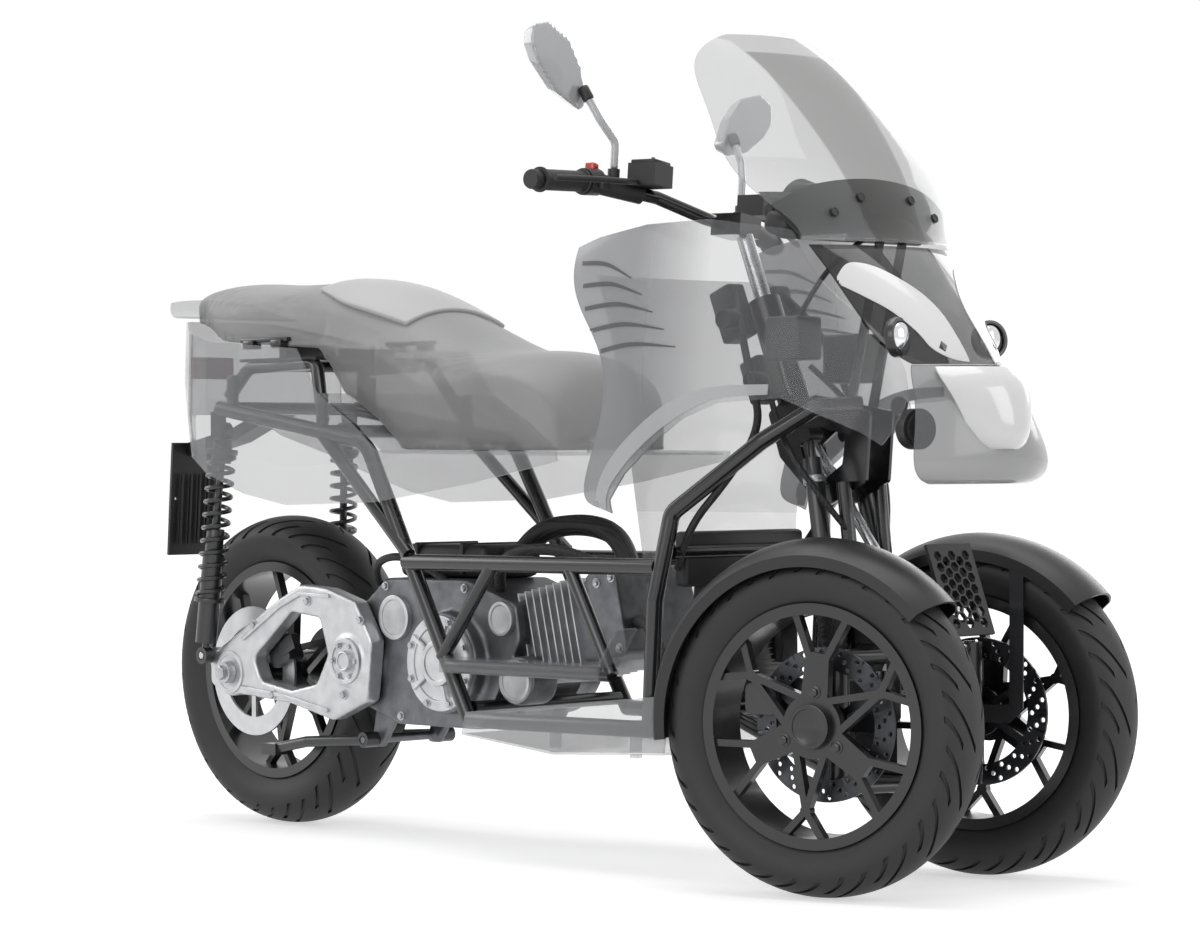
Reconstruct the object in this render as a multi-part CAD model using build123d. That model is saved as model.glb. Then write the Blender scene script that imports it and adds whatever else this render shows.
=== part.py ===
"""Reverse trike: a leaning three-wheeled scooter with two steered front wheels.

Millimetres. X points forward, Y to the rider's left and Z up, with the floor at Z = 0.
The pieces are drawn about the machine's middle plane at Y = 0. Each is moved by
origin_shift when it is written, so that the origin lies under the overall box's middle.
"""
import os
from math import atan2, cos, degrees, hypot, radians, sin

from build123d import *

# ---------------------------------------------------------------- driving sizes
wheelbase = 1520
front_axle_x = 795
rear_axle_x = front_axle_x - wheelbase
front_track = 410
kingpin_inset = 45                      # kingpin axis inboard of the wheel's middle
wheel_y = front_track / 2
kingpin_y = wheel_y - kingpin_inset
steer_turn = 14.3                       # handlebar and front wheels stand turned left

# Tyres: outer radius, widest radius, half width, bead radius, half bead spacing.
FRONT_TYRE = dict(radius=266, belly=228, half=55.5, bead=178, seat=38)
REAR_TYRE = dict(radius=288.5, belly=246, half=69.5, bead=190.5, seat=48)
rim_lip = 12                            # rim flange above the bead seat
rim_lip_width = 5
rim_wall = 6
front_hub_z = FRONT_TYRE["radius"]
rear_hub_z = REAR_TYRE["radius"]

# Running fits and gaps
running = 0.05                          # radial clearance of a pin in its bore
clear = 0.3                             # gap between pieces that lie together
panel_gap = 0.8                         # gap between neighbouring panels
shell = 4                               # wall of the body panels

# Wheels
spoke_depth = 16
spoke_width = 11
spoke_turn = -5.5                       # how far the pattern stands from upright
hub_radius = 50
cap_radius = 36
front_disc_radius = 120
rear_disc_radius = 120
disc_thickness = 5
front_axle_radius = 12
rear_axle_radius = 12

# Front suspension
kingpin_half = 92                       # knuckle boss above and below the axle
kingpin_boss = 20
kingpin_pin = 9
arm_eye = 22                            # height of a suspension arm's outer eye
arm_span = 120                          # length of an arm's inner pivot tube
arm_root_y = 34                         # arm pivot from the middle plane
arm_bar = 11
tie_arm = 44                            # steering arms behind the kingpin and the crank
tie_z = 318
tie_pin = 5
tie_eye = 11                            # ball end of a tie rod
fender_radius = 286
fender_half = 68
fender_wall = 4
fender_drop = 26                        # height of the crown across the fender's width
fender_skirt = 18
fender_front = 42                       # fender's ends, as angles round the axle
fender_rear = 186

# Steering column
steer_top = (446, 0, 1059)
steer_low = (573, 0, 740)
head_radius = 27
column_radius = 14

# Frame
rail_radius = 14
rail_bend = 60
cross_radius = 12
rail_rear = (-735, -165, 778)
rail_knee = (-305, -178, 712)
rail_waist = (-185, -190, 502)
rail_foot = (-24, -190, 236)
sill_front = (424, -200, 240)
knee_low = (437, -200, 450)
knee_high = (457, -180, 591)
nose_bend = (620, -140, 706)
nose_tip = (703, -105, 759)
nose_end = (748, -45, 762)

# Handlebar, standing straight ahead
bar_clamp = (436, 0, 1062)
bar_middle = (414, 62, 1066)
bar_rise = (362, 135, 1092)
grip_in = (301, 245, 1104)
grip_out = (287, 372, 1089)
mirror_foot = (320, 205, 1130)
mirror_neck = (303, 228, 1208)
mirror_middle = (273, 300, 1276)
bar_radius = 11
grip_radius = 17

origin_shift = (-16, 31, 0)             # puts the overall box's middle over the origin

os.makedirs("parts", exist_ok=True)


# ---------------------------------------------------------------- helpers
def rod(start, end, radius):
    """Round bar from start to end."""
    a = Vector(*start)
    b = Vector(*end)
    bar = Cylinder(radius, (b - a).length, align=(Align.CENTER, Align.CENTER, Align.MIN))
    return Plane(origin=a, z_dir=b - a) * bar


def tube(points, radius, bend):
    """Round bar along straight runs joined by tangent arcs."""
    path = FilletPolyline(*points, radius=bend)
    return sweep(Plane(origin=path @ 0, z_dir=path % 0) * Circle(radius), path=path)


def left_of(shape):
    """The same piece on the left side of the machine."""
    return mirror(shape, about=Plane.XZ)


def left_point(point):
    """The same point on the left side of the machine."""
    return (point[0], -point[1], point[2])


def block(low, high):
    """Box between two opposite corners."""
    size = [b - a for a, b in zip(low, high)]
    middle = [(b + a) / 2 for a, b in zip(low, high)]
    return Pos(*middle) * Box(*size)


def side_plate(points, y_low, y_high, corner=0):
    """Plate cut to an outline of (x, z) points, between two Y values."""
    outline = make_face(Polyline(*points, close=True))
    if corner:
        outline = fillet(outline.vertices(), corner)
    plate = extrude(outline, amount=y_high - y_low)
    return Pos(0, y_high, 0) * Rot(90, 0, 0) * plate


def along_y(sketch, y_low, y_high):
    """Extrude a sketch of (x, z) between two Y values."""
    return Pos(0, y_high, 0) * Rot(90, 0, 0) * extrude(sketch, amount=y_high - y_low)


def turned(shape, point, axis, angle):
    """A piece turned about an axis through a point."""
    return shape.rotate(Axis(point, axis), angle)


def save(name, *pieces):
    """Write a node's solids to its STEP file."""
    solids = [Pos(*origin_shift) * solid for piece in pieces for solid in piece.solids()]
    for solid in solids:
        if not solid.is_valid or solid.volume <= 0:
            raise ValueError(f"{name}: bad solid")
    shape = solids[0] if len(solids) == 1 else Compound(children=solids)
    export_step(shape, f"parts/{name}.step")


# ---------------------------------------------------------------- wheels, about the Y axis
def tyre(size):
    """Solid ring with a round crown, seated between the rim's flanges."""
    side = size["bead"] + rim_lip
    half = size["half"]
    belly = size["belly"]
    bulge = (side + 0.45 * (belly - side), half - 0.25 * (half - size["seat"]))
    shoulder = (belly + 0.72 * (size["radius"] - belly), 0.70 * half)
    edge = Polyline((size["bead"], 0), (size["bead"], size["seat"]), (side, size["seat"]))
    edge += ThreePointArc((side, size["seat"]), bulge, (belly, half))
    edge += ThreePointArc((belly, half), shoulder, (size["radius"], 0))
    section = make_face(edge + mirror(edge, about=Plane.XZ))
    return revolve(section, Axis.Y)


def rim_barrel(size):
    """Barrel and two flanges of a cast wheel."""
    inner = size["bead"] - rim_wall
    outer = size["bead"] + rim_lip - clear
    half = size["seat"] + rim_lip_width
    points = [
        (inner, -half), (outer, -half), (outer, -size["seat"]), (size["bead"], -size["seat"]),
        (size["bead"], size["seat"]), (outer, size["seat"]), (outer, half), (inner, half),
    ]
    return revolve(make_face(Polyline(*points, close=True)), Axis.Y)


def strip(start, end, width):
    """Flat bar between two points of a sketch."""
    run = (end[0] - start[0], end[1] - start[1])
    angle = degrees(atan2(run[1], run[0]))
    middle = ((start[0] + end[0]) / 2, (start[1] + end[1]) / 2)
    return Pos(*middle) * Rot(0, 0, angle) * Rectangle(hypot(*run), width)


def polar(radius, angle):
    """Point at a radius and an angle in degrees."""
    return (radius * cos(radians(angle)), radius * sin(radians(angle)))


def spokes(reach):
    """Three broad arms that fork at their ends, and three narrow Y arms between them."""
    paddle_end = 0.66 * reach
    paddle_half = 20
    node_radius = 0.76 * reach
    arm = make_face(Polyline((20, -24), (paddle_end, -paddle_half), (paddle_end, paddle_half),
                             (20, 24), close=True))
    for side in (-1, 1):
        corner = (paddle_end - 8, side * (paddle_half - spoke_width / 2))
        arm += strip(corner, polar(reach + 3, side * 14.6), spoke_width)
    fork = strip((36, -26), (node_radius, 0), spoke_width)
    fork += strip((36, 26), (node_radius, 0), spoke_width)
    fork += Pos(node_radius, 0) * Circle(0.8 * spoke_width)
    for side in (-1, 1):
        fork += strip((node_radius, 0), polar(reach + 3, side * 11), spoke_width)
    pattern = Circle(hub_radius)
    for index in range(3):
        pattern += Rot(0, 0, 90 + spoke_turn + 120 * index) * arm
        pattern += Rot(0, 0, 30 + spoke_turn + 120 * index) * fork
    return pattern


def rim(size, face_y, hub_low, hub_high, bore, blind):
    """Cast wheel: barrel, spokes and hub, with the spokes' outer face at face_y."""
    reach = size["bead"] - rim_wall
    wheel = rim_barrel(size) + along_y(spokes(reach), face_y, face_y + spoke_depth)
    wheel += along_y(Circle(34), hub_low, hub_high)
    if blind:
        wheel += along_y(Circle(cap_radius), face_y - 8, face_y)
        return wheel - along_y(Circle(bore), face_y + 6, hub_high + 1)
    return wheel - along_y(Circle(bore), hub_low - 30, hub_high + 30)


def brake_disc(radius, hole, y_low):
    """Brake disc: braking ring on six arms from the carrier."""
    band = Circle(radius) - Circle(radius - 34)
    carrier = Circle(hole + 14) - Circle(hole)
    ring = band + carrier
    for index in range(6):
        ring += Rot(0, 0, 60 * index + 30) * Pos((radius - 34 + hole + 10) / 2, 0) * Rectangle(
            radius - 34 - hole, 12)
    return along_y(ring, y_low, y_low + disc_thickness)


# Places along a right front wheel's axle, outboard negative, from the wheel's middle.
spoke_face = -FRONT_TYRE["seat"]
hub_inner = 6
front_disc_y = hub_inner
front_disc_hole = 26
knuckle_face = hub_inner + clear
lug_y = 26                              # caliper lug's outboard face


def front_knuckle(pin_up):
    """Upright with kingpin boss, stub axle, steering arm, caliper lug and fender stays."""
    boss = rod((0, kingpin_inset, -kingpin_half), (0, kingpin_inset, kingpin_half), kingpin_boss)
    pin_end = kingpin_half + arm_eye + 2
    boss += rod((0, kingpin_inset, -pin_end), (0, kingpin_inset, pin_end), kingpin_pin)
    boss += rod((0, kingpin_inset, 0), (0, knuckle_face, 0), 19)
    boss += rod((0, kingpin_inset, 0), (0, spoke_face + 8, 0), front_axle_radius)
    arm_z = tie_z - front_hub_z
    arm = block((-tie_arm, kingpin_inset - 9, arm_z - 6), (0, kingpin_inset + 9, arm_z + 6))
    arm += Pos(-tie_arm, kingpin_inset, arm_z) * Cylinder(tie_eye, 12)
    arm += rod((-tie_arm, kingpin_inset, arm_z),
               (-tie_arm, kingpin_inset, arm_z + (24 if pin_up else -24)), tie_pin)
    lug = side_plate([(-10, -20), (-104, 30), (-84, 76), (-10, 60)], lug_y, lug_y + 6)
    stay_y = fender_half - fender_wall - clear
    stay = side_plate([(0, -14), (-78, -14), (-102, 10), (-104, 232), (-80, 240), (-78, 16),
                       (0, 14)], stay_y - 3, stay_y, 3)
    front_stay = mirror(stay, about=Plane.YZ)
    return boss + arm + lug + stay + front_stay


def front_caliper():
    """Two-piece brake caliper that straddles the disc, behind and above the axle."""
    body = block((-132, front_disc_y - 16, 14), (-78, lug_y - clear, 62))
    body = fillet(body.edges().filter_by(Axis.Y), 10)
    slot = along_y(Circle(front_disc_radius + 3), front_disc_y - 1.5,
                   front_disc_y + disc_thickness + 1.5)
    return body - slot


def fender():
    """Crowned mudguard over a front wheel, from ahead of the top to behind the axle."""
    rim_r = fender_radius + fender_wall - fender_drop
    half = fender_half
    inner = half - fender_wall
    low = rim_r - fender_skirt
    edge = Polyline((low, -inner), (low, -half), (rim_r, -half))
    edge += ThreePointArc((rim_r, -half), (fender_radius + fender_wall, 0), (rim_r, half))
    edge += Polyline((rim_r, half), (low, half), (low, inner), (rim_r - 1, inner))
    edge += ThreePointArc((rim_r - 1, inner), (fender_radius, 0), (rim_r - 1, -inner))
    edge += Line((rim_r - 1, -inner), (low, -inner))
    guard = revolve(make_face(edge), Axis.Y, revolution_arc=fender_rear - fender_front)
    return turned(guard, (0, 0, 0), (0, 1, 0), -fender_rear)


def front_corner(piece, turn=steer_turn):
    """Put a right front corner's piece in its place, steered about its kingpin."""
    placed = Pos(front_axle_x, -wheel_y, front_hub_z) * piece
    return turned(placed, (front_axle_x, -kingpin_y, 0), (0, 0, 1), turn)


def save_front_corners(name, piece):
    """Write a front corner's piece for both sides, each steered the same way."""
    save(f"{name}_right", front_corner(piece))
    save(f"{name}_left", left_of(front_corner(piece, -steer_turn)))


def build_wheels():
    """Both front wheels and the rear wheel with its axle."""
    save_front_corners("front_tyre", tyre(FRONT_TYRE))
    front_rim = rim(FRONT_TYRE, spoke_face, spoke_face, hub_inner, front_axle_radius + running, True)
    save_front_corners("front_rim", front_rim)
    save_front_corners("front_disc", brake_disc(front_disc_radius, front_disc_hole, front_disc_y))
    save("knuckle_right", front_corner(front_knuckle(True)))
    save("knuckle_left", left_of(front_corner(front_knuckle(False), -steer_turn)))
    save_front_corners("front_caliper", front_caliper())
    save_front_corners("fender", fender())
    at_rear = Pos(rear_axle_x, 0, rear_hub_z)
    save("rear_tyre", at_rear * tyre(REAR_TYRE))
    rear_rim = rim(REAR_TYRE, -24, rear_disc_y + disc_thickness, 60, rear_axle_radius, False)
    save("rear_rim", at_rear * rear_rim)
    save("rear_disc", at_rear * brake_disc(rear_disc_radius, rear_axle_radius, rear_disc_y))
    axle = rod((0, arm_y_low - 12, 0), (0, case_y_low + 40, 0), rear_axle_radius)
    axle += rod((0, arm_y_low - 16, 0), (0, arm_y_low - 4, 0), 20)
    save("rear_axle", at_rear * axle)


# ---------------------------------------------------------------- engine unit and swing arm
rear_disc_y = -98
arm_y_low = -152
arm_y_high = -116
case_y_low = 92
case_y_high = 160
pivot_x = -388
pivot_z = 321


def swing_arm():
    """Cast arm on the right: a closed loop from the engine to the axle boss."""
    outline = [
        (rear_axle_x - 62, 318), (-689, 372), (-581, 430), (-523, 455), (-452, 450),
        (-372, 428), (-326, 358), (-340, 250), (-435, 212), (-557, 238), (-715, 250),
        (rear_axle_x - 62, 262),
    ]
    opening = [(-660, 318), (-552, 404), (-470, 396), (-448, 330), (-480, 276), (-551, 262),
               (-640, 276)]
    arm = side_plate(outline, arm_y_low, arm_y_high, 14)
    arm += Pos(rear_axle_x, 0, rear_hub_z) * along_y(Circle(44), arm_y_low - 2, arm_y_high + 4)
    arm += Pos(pivot_x, 0, pivot_z) * along_y(Circle(44), arm_y_low - 6, arm_y_high)
    arm -= side_plate(opening, arm_y_low - 10, arm_y_high + 10, 12)
    arm += Pos(shock_low[0], 0, shock_low[2]) * along_y(Circle(15), arm_y_low, arm_y_high)
    arm -= rod((shock_low[0], arm_y_low - 20, shock_low[2]), (shock_low[0], arm_y_low - 4,
                                                               shock_low[2]), 18)
    bore = Pos(rear_axle_x, 0, rear_hub_z) * along_y(
        Circle(rear_axle_radius + running), arm_y_low - 20, arm_y_high + 20)
    nut_room = Pos(rear_axle_x, 0, rear_hub_z) * along_y(
        Circle(24), arm_y_low - 20, arm_y_low - 4 + clear + 6)
    shock_pin = rod((shock_low[0], shock_low[1] - 12, shock_low[2]),
                    (shock_low[0], arm_y_low, shock_low[2]), 8)
    return arm - bore - nut_room + shock_pin


shock_top = (-748, -146, 736)
shock_low = (-784, -166, 318)
shock_eye = 9                           # half width of a shock's eyes


def shock():
    """Rear shock absorber: eyes, damper body, rod, two spring cups and the spring sleeve."""
    top = Vector(*shock_top)
    low = Vector(*shock_low)
    axis = (top - low).normalized()

    def at(distance):
        return tuple(low + axis * distance)
    length = (top - low).length
    body = rod(at(0), at(length), 7)
    body += rod(at(24), at(190), 20)
    body += rod(at(100), at(108), 27)
    body += rod(at(length - 44), at(length - 34), 27)
    body += rod(at(length - 60), at(length - 16), 18)
    for eye in (shock_low, shock_top):
        body += rod((eye[0], eye[1] - shock_eye, eye[2]), (eye[0], eye[1] + shock_eye, eye[2]),
                    16)
        body -= rod((eye[0], eye[1] - 12, eye[2]), (eye[0], eye[1] + 12, eye[2]), 8 + running)
    return body


def spring(start, end, turns, coil, wire):
    """Coil spring between two points."""
    a = Vector(*start)
    b = Vector(*end)
    length = (b - a).length
    path = Helix(pitch=length / turns, height=length, radius=coil)
    coil_wire = sweep(Plane(origin=path @ 0, z_dir=path % 0) * Circle(wire), path=path,
                      is_frenet=True)
    return Plane(origin=a, z_dir=b - a) * coil_wire


stand_x = -404
stand_z = 176
foot_bar = (-31.5, -189.4, 254)        # cross tube the engine hangs on


def engine_block():
    """Crankcase, inclined cylinder with head, and the airbox above it."""
    case = side_plate([(-420, 250), (-300, 210), (-80, 210), (-16, 306), (20, 370), (10, 430),
                       (-120, 470), (-330, 470), (-420, 400)], -112, 88, 16)
    for y in (-60, 36):
        case += block((-90, y, 222), (foot_bar[0] - cross_radius - clear, y + 24, 242))
    for y in (-74, 62):
        case += side_plate([(stand_x - 16, stand_z - 14), (stand_x + 16, stand_z - 14),
                            (-330, 240), (-400, 262)], y, y + 12, 4)
    case += rod((stand_x, -108, stand_z), (stand_x, 108, stand_z), 8)
    barrel = side_plate([(0, 300), (190, 345), (160, 475), (-40, 430)], -80, 80, 8)
    head = side_plate([(192, 335), (262, 352), (230, 500), (158, 482)], -92, 92, 10)
    cover = Pos(-150, 0, 325) * along_y(Circle(88), -140, -112)
    pump = Pos(30, 0, 300) * along_y(Circle(42), -128, -70)
    lug = Pos(pivot_x, 0, pivot_z) * along_y(Circle(52), arm_y_high + clear, -80)
    return case + barrel + head + cover + pump + lug


def transmission_case():
    """Belt case on the left that carries the rear axle."""
    outline = make_hull([
        *(Pos(rear_axle_x, rear_hub_z) * Circle(78)).edges(),
        *(Pos(-160, 335) * Circle(112)).edges()])
    case = along_y(outline, case_y_low, case_y_high)
    case += Pos(-160, 0, 335) * along_y(Circle(80), case_y_high, case_y_high + 8)
    case -= block((-900, 138, 100), (-640, 200, 420))
    case += Pos(rear_axle_x, 0, rear_hub_z) * along_y(Circle(44), 72, case_y_low)
    case += rod((shock_low[0], 120, shock_low[2]), (shock_low[0], 178, shock_low[2]), 8)
    case += rod((shock_low[0], case_y_low + 10, shock_low[2]),
                (shock_low[0], -shock_low[1] - shock_eye - clear, shock_low[2]), 16)
    bore = Pos(rear_axle_x, 0, rear_hub_z) * along_y(
        Circle(rear_axle_radius + running), 60, case_y_low + 41)
    return case - bore


def rear_caliper():
    """Caliper inside the arm's opening, over the rear disc."""
    body = block((74, rear_disc_y - 16, -26), (128, rear_disc_y + 18, 26))
    body = fillet(body.edges().filter_by(Axis.Y), 8)
    slot = block((60, rear_disc_y - 1.5, -40), (123.5, rear_disc_y + disc_thickness + 1.5, 40))
    body -= slot
    bridge = block((110, arm_y_high + clear, -14), (150, rear_disc_y - 16, 14))
    return Pos(rear_axle_x, 0, rear_hub_z) * Rot(0, -24, 0) * (body + bridge)


# ---------------------------------------------------------------- frame
def between(start, end, share):
    """Point part of the way along a straight run."""
    return tuple(a + (b - a) * share for a, b in zip(start, end))


waist_front = (437, -194, 503)
sill_mid = (60, -194, 236)


def side_frame():
    """Right side frame: upper rail, waist tube, braces, sill and front perimeter tube."""
    side = tube([rail_rear, rail_knee, rail_foot], rail_radius, rail_bend)
    side += rod((-425, -175, 724), (-178, -190, 515), cross_radius)
    side += rod(rail_waist, waist_front, rail_radius)
    side += rod((40, -192, 500), (-92, -190, 338), cross_radius)
    side += rod((-80, -190, 325), (330, -194, 325), cross_radius)
    side += rod((330, -194, 325), (230, -193, 500), cross_radius)
    side += tube([rail_foot, sill_mid, sill_front], rail_radius, rail_bend)
    side += tube([sill_front, knee_low, knee_high, nose_bend, nose_tip, nose_end],
                 rail_radius, 24)
    side += Pos(*rail_foot) * Sphere(rail_radius)
    side += Pos(*sill_front) * Sphere(rail_radius)
    tab_y = shock_top[1] - shock_eye - clear
    side += block((shock_top[0] - 18, tab_y - 8, shock_top[2] - 12),
                  (shock_top[0] + 18, tab_y, shock_top[2] + 36))
    side += rod((shock_top[0], tab_y, shock_top[2]), (shock_top[0], tab_y + 22, shock_top[2]), 8)
    return side


def cross_frame():
    """Cross tubes between the two side frames."""
    places = [                          # point on the right tube, slack for its slope
        (rail_rear, 0), (between(rail_rear, rail_knee, 0.70), 0), (foot_bar, 0),
        (between(sill_front, knee_low, 0.12), 0), (between(knee_low, knee_high, 0.55), 1.6),
    ]
    bars = []
    for (x, y, z), slack in places:
        reach = abs(y) - rail_radius - clear - slack
        bars.append(rod((x, -reach, z), (x, reach, z), cross_radius))
    return bars


def seat_hoop():
    """Hoop tubes under the passenger seat, with the plate that carries the seat's rear."""
    hoop = tube([(-712, -163, 796), (-683, -138, 852), (-487, -138, 856), (-430, -172, 752)],
                cross_radius, 26)
    hoop += left_of(hoop)
    hoop += block((-700, -146, 862), (-480, 146, 868))
    hoop += block((-690, -60, 862), (-670, 60, 896.6))
    hoop += block((-520, -60, 862), (-500, 60, 884.5))
    hoop += rod((-660, -138, 853), (-660, 138, 855), 9)
    return hoop


column_axis = Vector(*steer_top) - Vector(*steer_low)


def on_column(share):
    """Point on the steering axis, as a share of the way from its low end to its top."""
    return tuple(Vector(*steer_low) + column_axis * share)


cheek_y = 24
cheek_wall = 6


def steering_head():
    """Head tube between two cheek plates that join the tips of the perimeter tubes."""
    head = rod(on_column(0.02), on_column(0.62), head_radius)
    outline = [(530, 752), (582, 782), (752, 752), (742, 640), (650, 596), (556, 680)]
    window = [(600, 700), (640, 728), (700, 716), (692, 668), (650, 642), (610, 672)]
    for side in (-1, 1):
        low_y = cheek_y if side > 0 else -cheek_y - cheek_wall
        cheek = side_plate(outline, low_y, low_y + cheek_wall, 8)
        head += cheek - side_plate(window, low_y - 1, low_y + cheek_wall + 1, 6)
    return head - rod(on_column(-0.2), on_column(0.9), column_radius + running)


arm_low_z = front_hub_z - kingpin_half - arm_eye / 2
arm_high_z = front_hub_z + kingpin_half + arm_eye / 2
crank_top_z = arm_high_z + 72
plate_wall = 8
plate_half = arm_root_y + 16
strut_y = cheek_y + cheek_wall + cross_radius + clear


def tilt_frame():
    """Two upright plates that carry the arm pivots and the bell crank, and their struts."""
    half = arm_span / 2 + clear
    frame = block((front_axle_x + half, -plate_half, arm_low_z - 24),
                  (front_axle_x + half + plate_wall, plate_half, arm_high_z + 60))
    rear_plate = block((front_axle_x - half - plate_wall, -plate_half, arm_low_z - 24),
                       (front_axle_x - half, plate_half, arm_high_z + 60))
    window = block((front_axle_x - half - 20, -plate_half - 1, tie_z - 38),
                   (front_axle_x - half + 5, plate_half + 1, tie_z + 30))
    for y in (-arm_root_y, arm_root_y):
        for z in (arm_low_z, arm_high_z):
            frame += rod((front_axle_x - half - 4, y, z), (front_axle_x + half + 4, y, z), 8)
    frame += rear_plate - window
    frame += block((front_axle_x - half - 4, -22, arm_high_z + 34),
                   (front_axle_x + half + 4, 22, arm_high_z + 60))
    frame -= rod((front_axle_x, 0, arm_high_z), (front_axle_x, 0, arm_high_z + 80), 11 + running)
    for side in (-1, 1):
        frame += rod((front_axle_x - half - 4, side * (plate_half - 10), arm_high_z + 46),
                     (706, side * strut_y, 640), cross_radius)
        bar_x, _, bar_z = between(sill_front, knee_low, 0.12)
        start = Vector(front_axle_x - half - 4, side * 38, arm_low_z - 8)
        end = Vector(bar_x, side * 38, bar_z)
        share = 1 - (cross_radius + clear) / (end - start).length
        frame += rod(tuple(start), between(start, end, share), cross_radius)
    return frame


def suspension_arm(z):
    """Right suspension arm: inner pivot tube, two bars and the kingpin's eye."""
    half = arm_span / 2
    arm = rod((-half, -arm_root_y, 0), (half, -arm_root_y, 0), 14)
    arm += rod((0, -kingpin_y, -arm_eye / 2), (0, -kingpin_y, arm_eye / 2), kingpin_boss)
    for x in (-half + 16, half - 16):
        arm += rod((x, -arm_root_y, 0), (0, -kingpin_y, 0), arm_bar - 2)
    arm -= rod((-half - 1, -arm_root_y, 0), (half + 1, -arm_root_y, 0), 8 + running)
    arm -= rod((0, -kingpin_y, -arm_eye), (0, -kingpin_y, arm_eye), kingpin_pin + running)
    return Pos(front_axle_x, 0, z) * arm


def tilt_cylinder():
    """Hydraulic tilt cylinder on the right, from the lower arm up to the head's cheek."""
    low = Vector(front_axle_x - 34, -94, arm_low_z + arm_bar + clear)
    top = Vector(640, -50, 716)
    length = (top - low).length
    cylinder = rod(tuple(low), tuple(top), 7)
    cylinder += rod(between(low, top, 190 / length), between(low, top, 0.66), 20)
    cylinder += rod(between(low, top, 0.66), between(low, top, 1 - 40 / length), 15)
    cylinder += rod((top.X, -62, top.Z), (top.X, -cheek_y - cheek_wall - clear, top.Z), 12)
    return cylinder


def bell_crank():
    """Steering crank on its vertical shaft, straight ahead."""
    crank = rod((front_axle_x, 0, tie_z - 8), (front_axle_x, 0, crank_top_z), 11)
    crank += block((front_axle_x - tie_arm, -9, tie_z - 6), (front_axle_x, 9, tie_z + 6))
    crank += Pos(front_axle_x - tie_arm, 0, tie_z) * Cylinder(9, 12)
    crank += rod((front_axle_x - tie_arm, 0, tie_z - 22), (front_axle_x - tie_arm, 0, tie_z + 22),
                 tie_pin)
    return crank


def tie_rod(up):
    """Tie rod from the crank to the right knuckle's arm, above or below the arms."""
    x = front_axle_x - tie_arm
    z = tie_z + (14 if up else -14)
    link = rod((x, 0, z), (x, -kingpin_y, z), 6)
    for y, slack in ((0, running), (-kingpin_y, 10 * running)):
        link += rod((x, y, z - 7), (x, y, z + 7), tie_eye)
        link -= rod((x, y, z - 20), (x, y, z + 20), tie_pin + slack)
    angle = radians(steer_turn)
    shift = (tie_arm * (1 - cos(angle)), -tie_arm * sin(angle))
    return shift, link


knuckle_joint = 11                      # ball of the shaft's lower universal joint


def steering_shaft():
    """Shaft that joins the column's foot to the bell crank."""
    crank = (front_axle_x, 0, crank_top_z + knuckle_joint + clear)
    shaft = rod(steer_low, crank, 9)
    shaft += Pos(*steer_low) * Sphere(column_radius - 2 * clear)
    return shaft + Pos(*crank) * Sphere(knuckle_joint)


# ---------------------------------------------------------------- steering
def on_steering(piece):
    """Turn a piece of the handlebar with the steering."""
    return turned(piece, steer_top, (column_axis.X, column_axis.Y, column_axis.Z), steer_turn)


def handlebar():
    """Bent bar with its clamp and bar-end weights."""
    points = [left_point(p) for p in (grip_out, grip_in, bar_rise, bar_middle)]
    points += [bar_middle, bar_rise, grip_in, grip_out]
    bar = tube(points, bar_radius, 28)
    bar += block((406, -34, 1044), (462, 34, 1080))
    for side in (-1, 1):
        end = Vector(grip_out[0], side * grip_out[1], grip_out[2])
        inner = Vector(grip_in[0], side * grip_in[1], grip_in[2])
        along = (end - inner).normalized()
        bar += rod(tuple(end), tuple(end + along * 22), 15)
    return bar - rod(on_column(0.5), on_column(0.955), column_radius + 2)


def steering_column():
    """Column through the head tube up to the handlebar's clamp."""
    foot = Vector(*steer_low) + column_axis.normalized() * (column_radius - clear)
    return rod(tuple(foot), on_column(0.954), column_radius)


def grip():
    """Rubber grip on the right end of the bar."""
    start = left_point(grip_in)
    end = left_point(grip_out)
    sleeve = rod(between(start, end, 0.16), between(start, end, 0.995), grip_radius)
    return sleeve - rod(between(start, end, -0.2), between(start, end, 1.2), bar_radius)


def control():
    """Right switch housing with its master cylinder, lever and mirror socket."""
    start = left_point(grip_in)
    end = left_point(grip_out)
    inner = left_point(bar_rise)
    housing = rod(between(start, end, -0.12), between(start, end, 0.14), 22)
    housing += rod(between(inner, start, 0.25), between(inner, start, 0.95), 17)
    housing += block((346, -204, 1104), (398, -148, 1140))
    housing += tube([(362, -196, 1108), (372, -246, 1102), (352, -300, 1098), (330, -390, 1088)],
                    5, 16)
    housing += rod((mirror_foot[0], -mirror_foot[1], 1104), left_point(mirror_foot), 10)
    bore = tube([left_point(bar_middle), inner, start, end], bar_radius + clear, 28)
    return housing - bore


def rear_mirror():
    """Right mirror: bent stem and a tapered head that faces backwards."""
    foot = (mirror_foot[0], -mirror_foot[1], mirror_foot[2] + clear)
    x, y, z = mirror_middle
    stem = tube([foot, (mirror_foot[0], -mirror_foot[1], mirror_foot[2] + 44),
                 left_point(mirror_neck), (x + 8, -y + 62, z - 28)], 7, 14)
    edge = Polyline((84, -64), (41, -76), (-24, -58), (-62, -18), (-84, 34), (-66, 54), (5, 36),
                    (65, -2), (86, -30), close=True)
    face = fillet(make_face(edge).vertices(), 12)
    head = extrude(face, amount=26, taper=24)
    return stem + Plane(origin=(x - 4, -y, z), x_dir=(0, -1, 0), z_dir=(1, 0, 0)) * head


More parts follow.
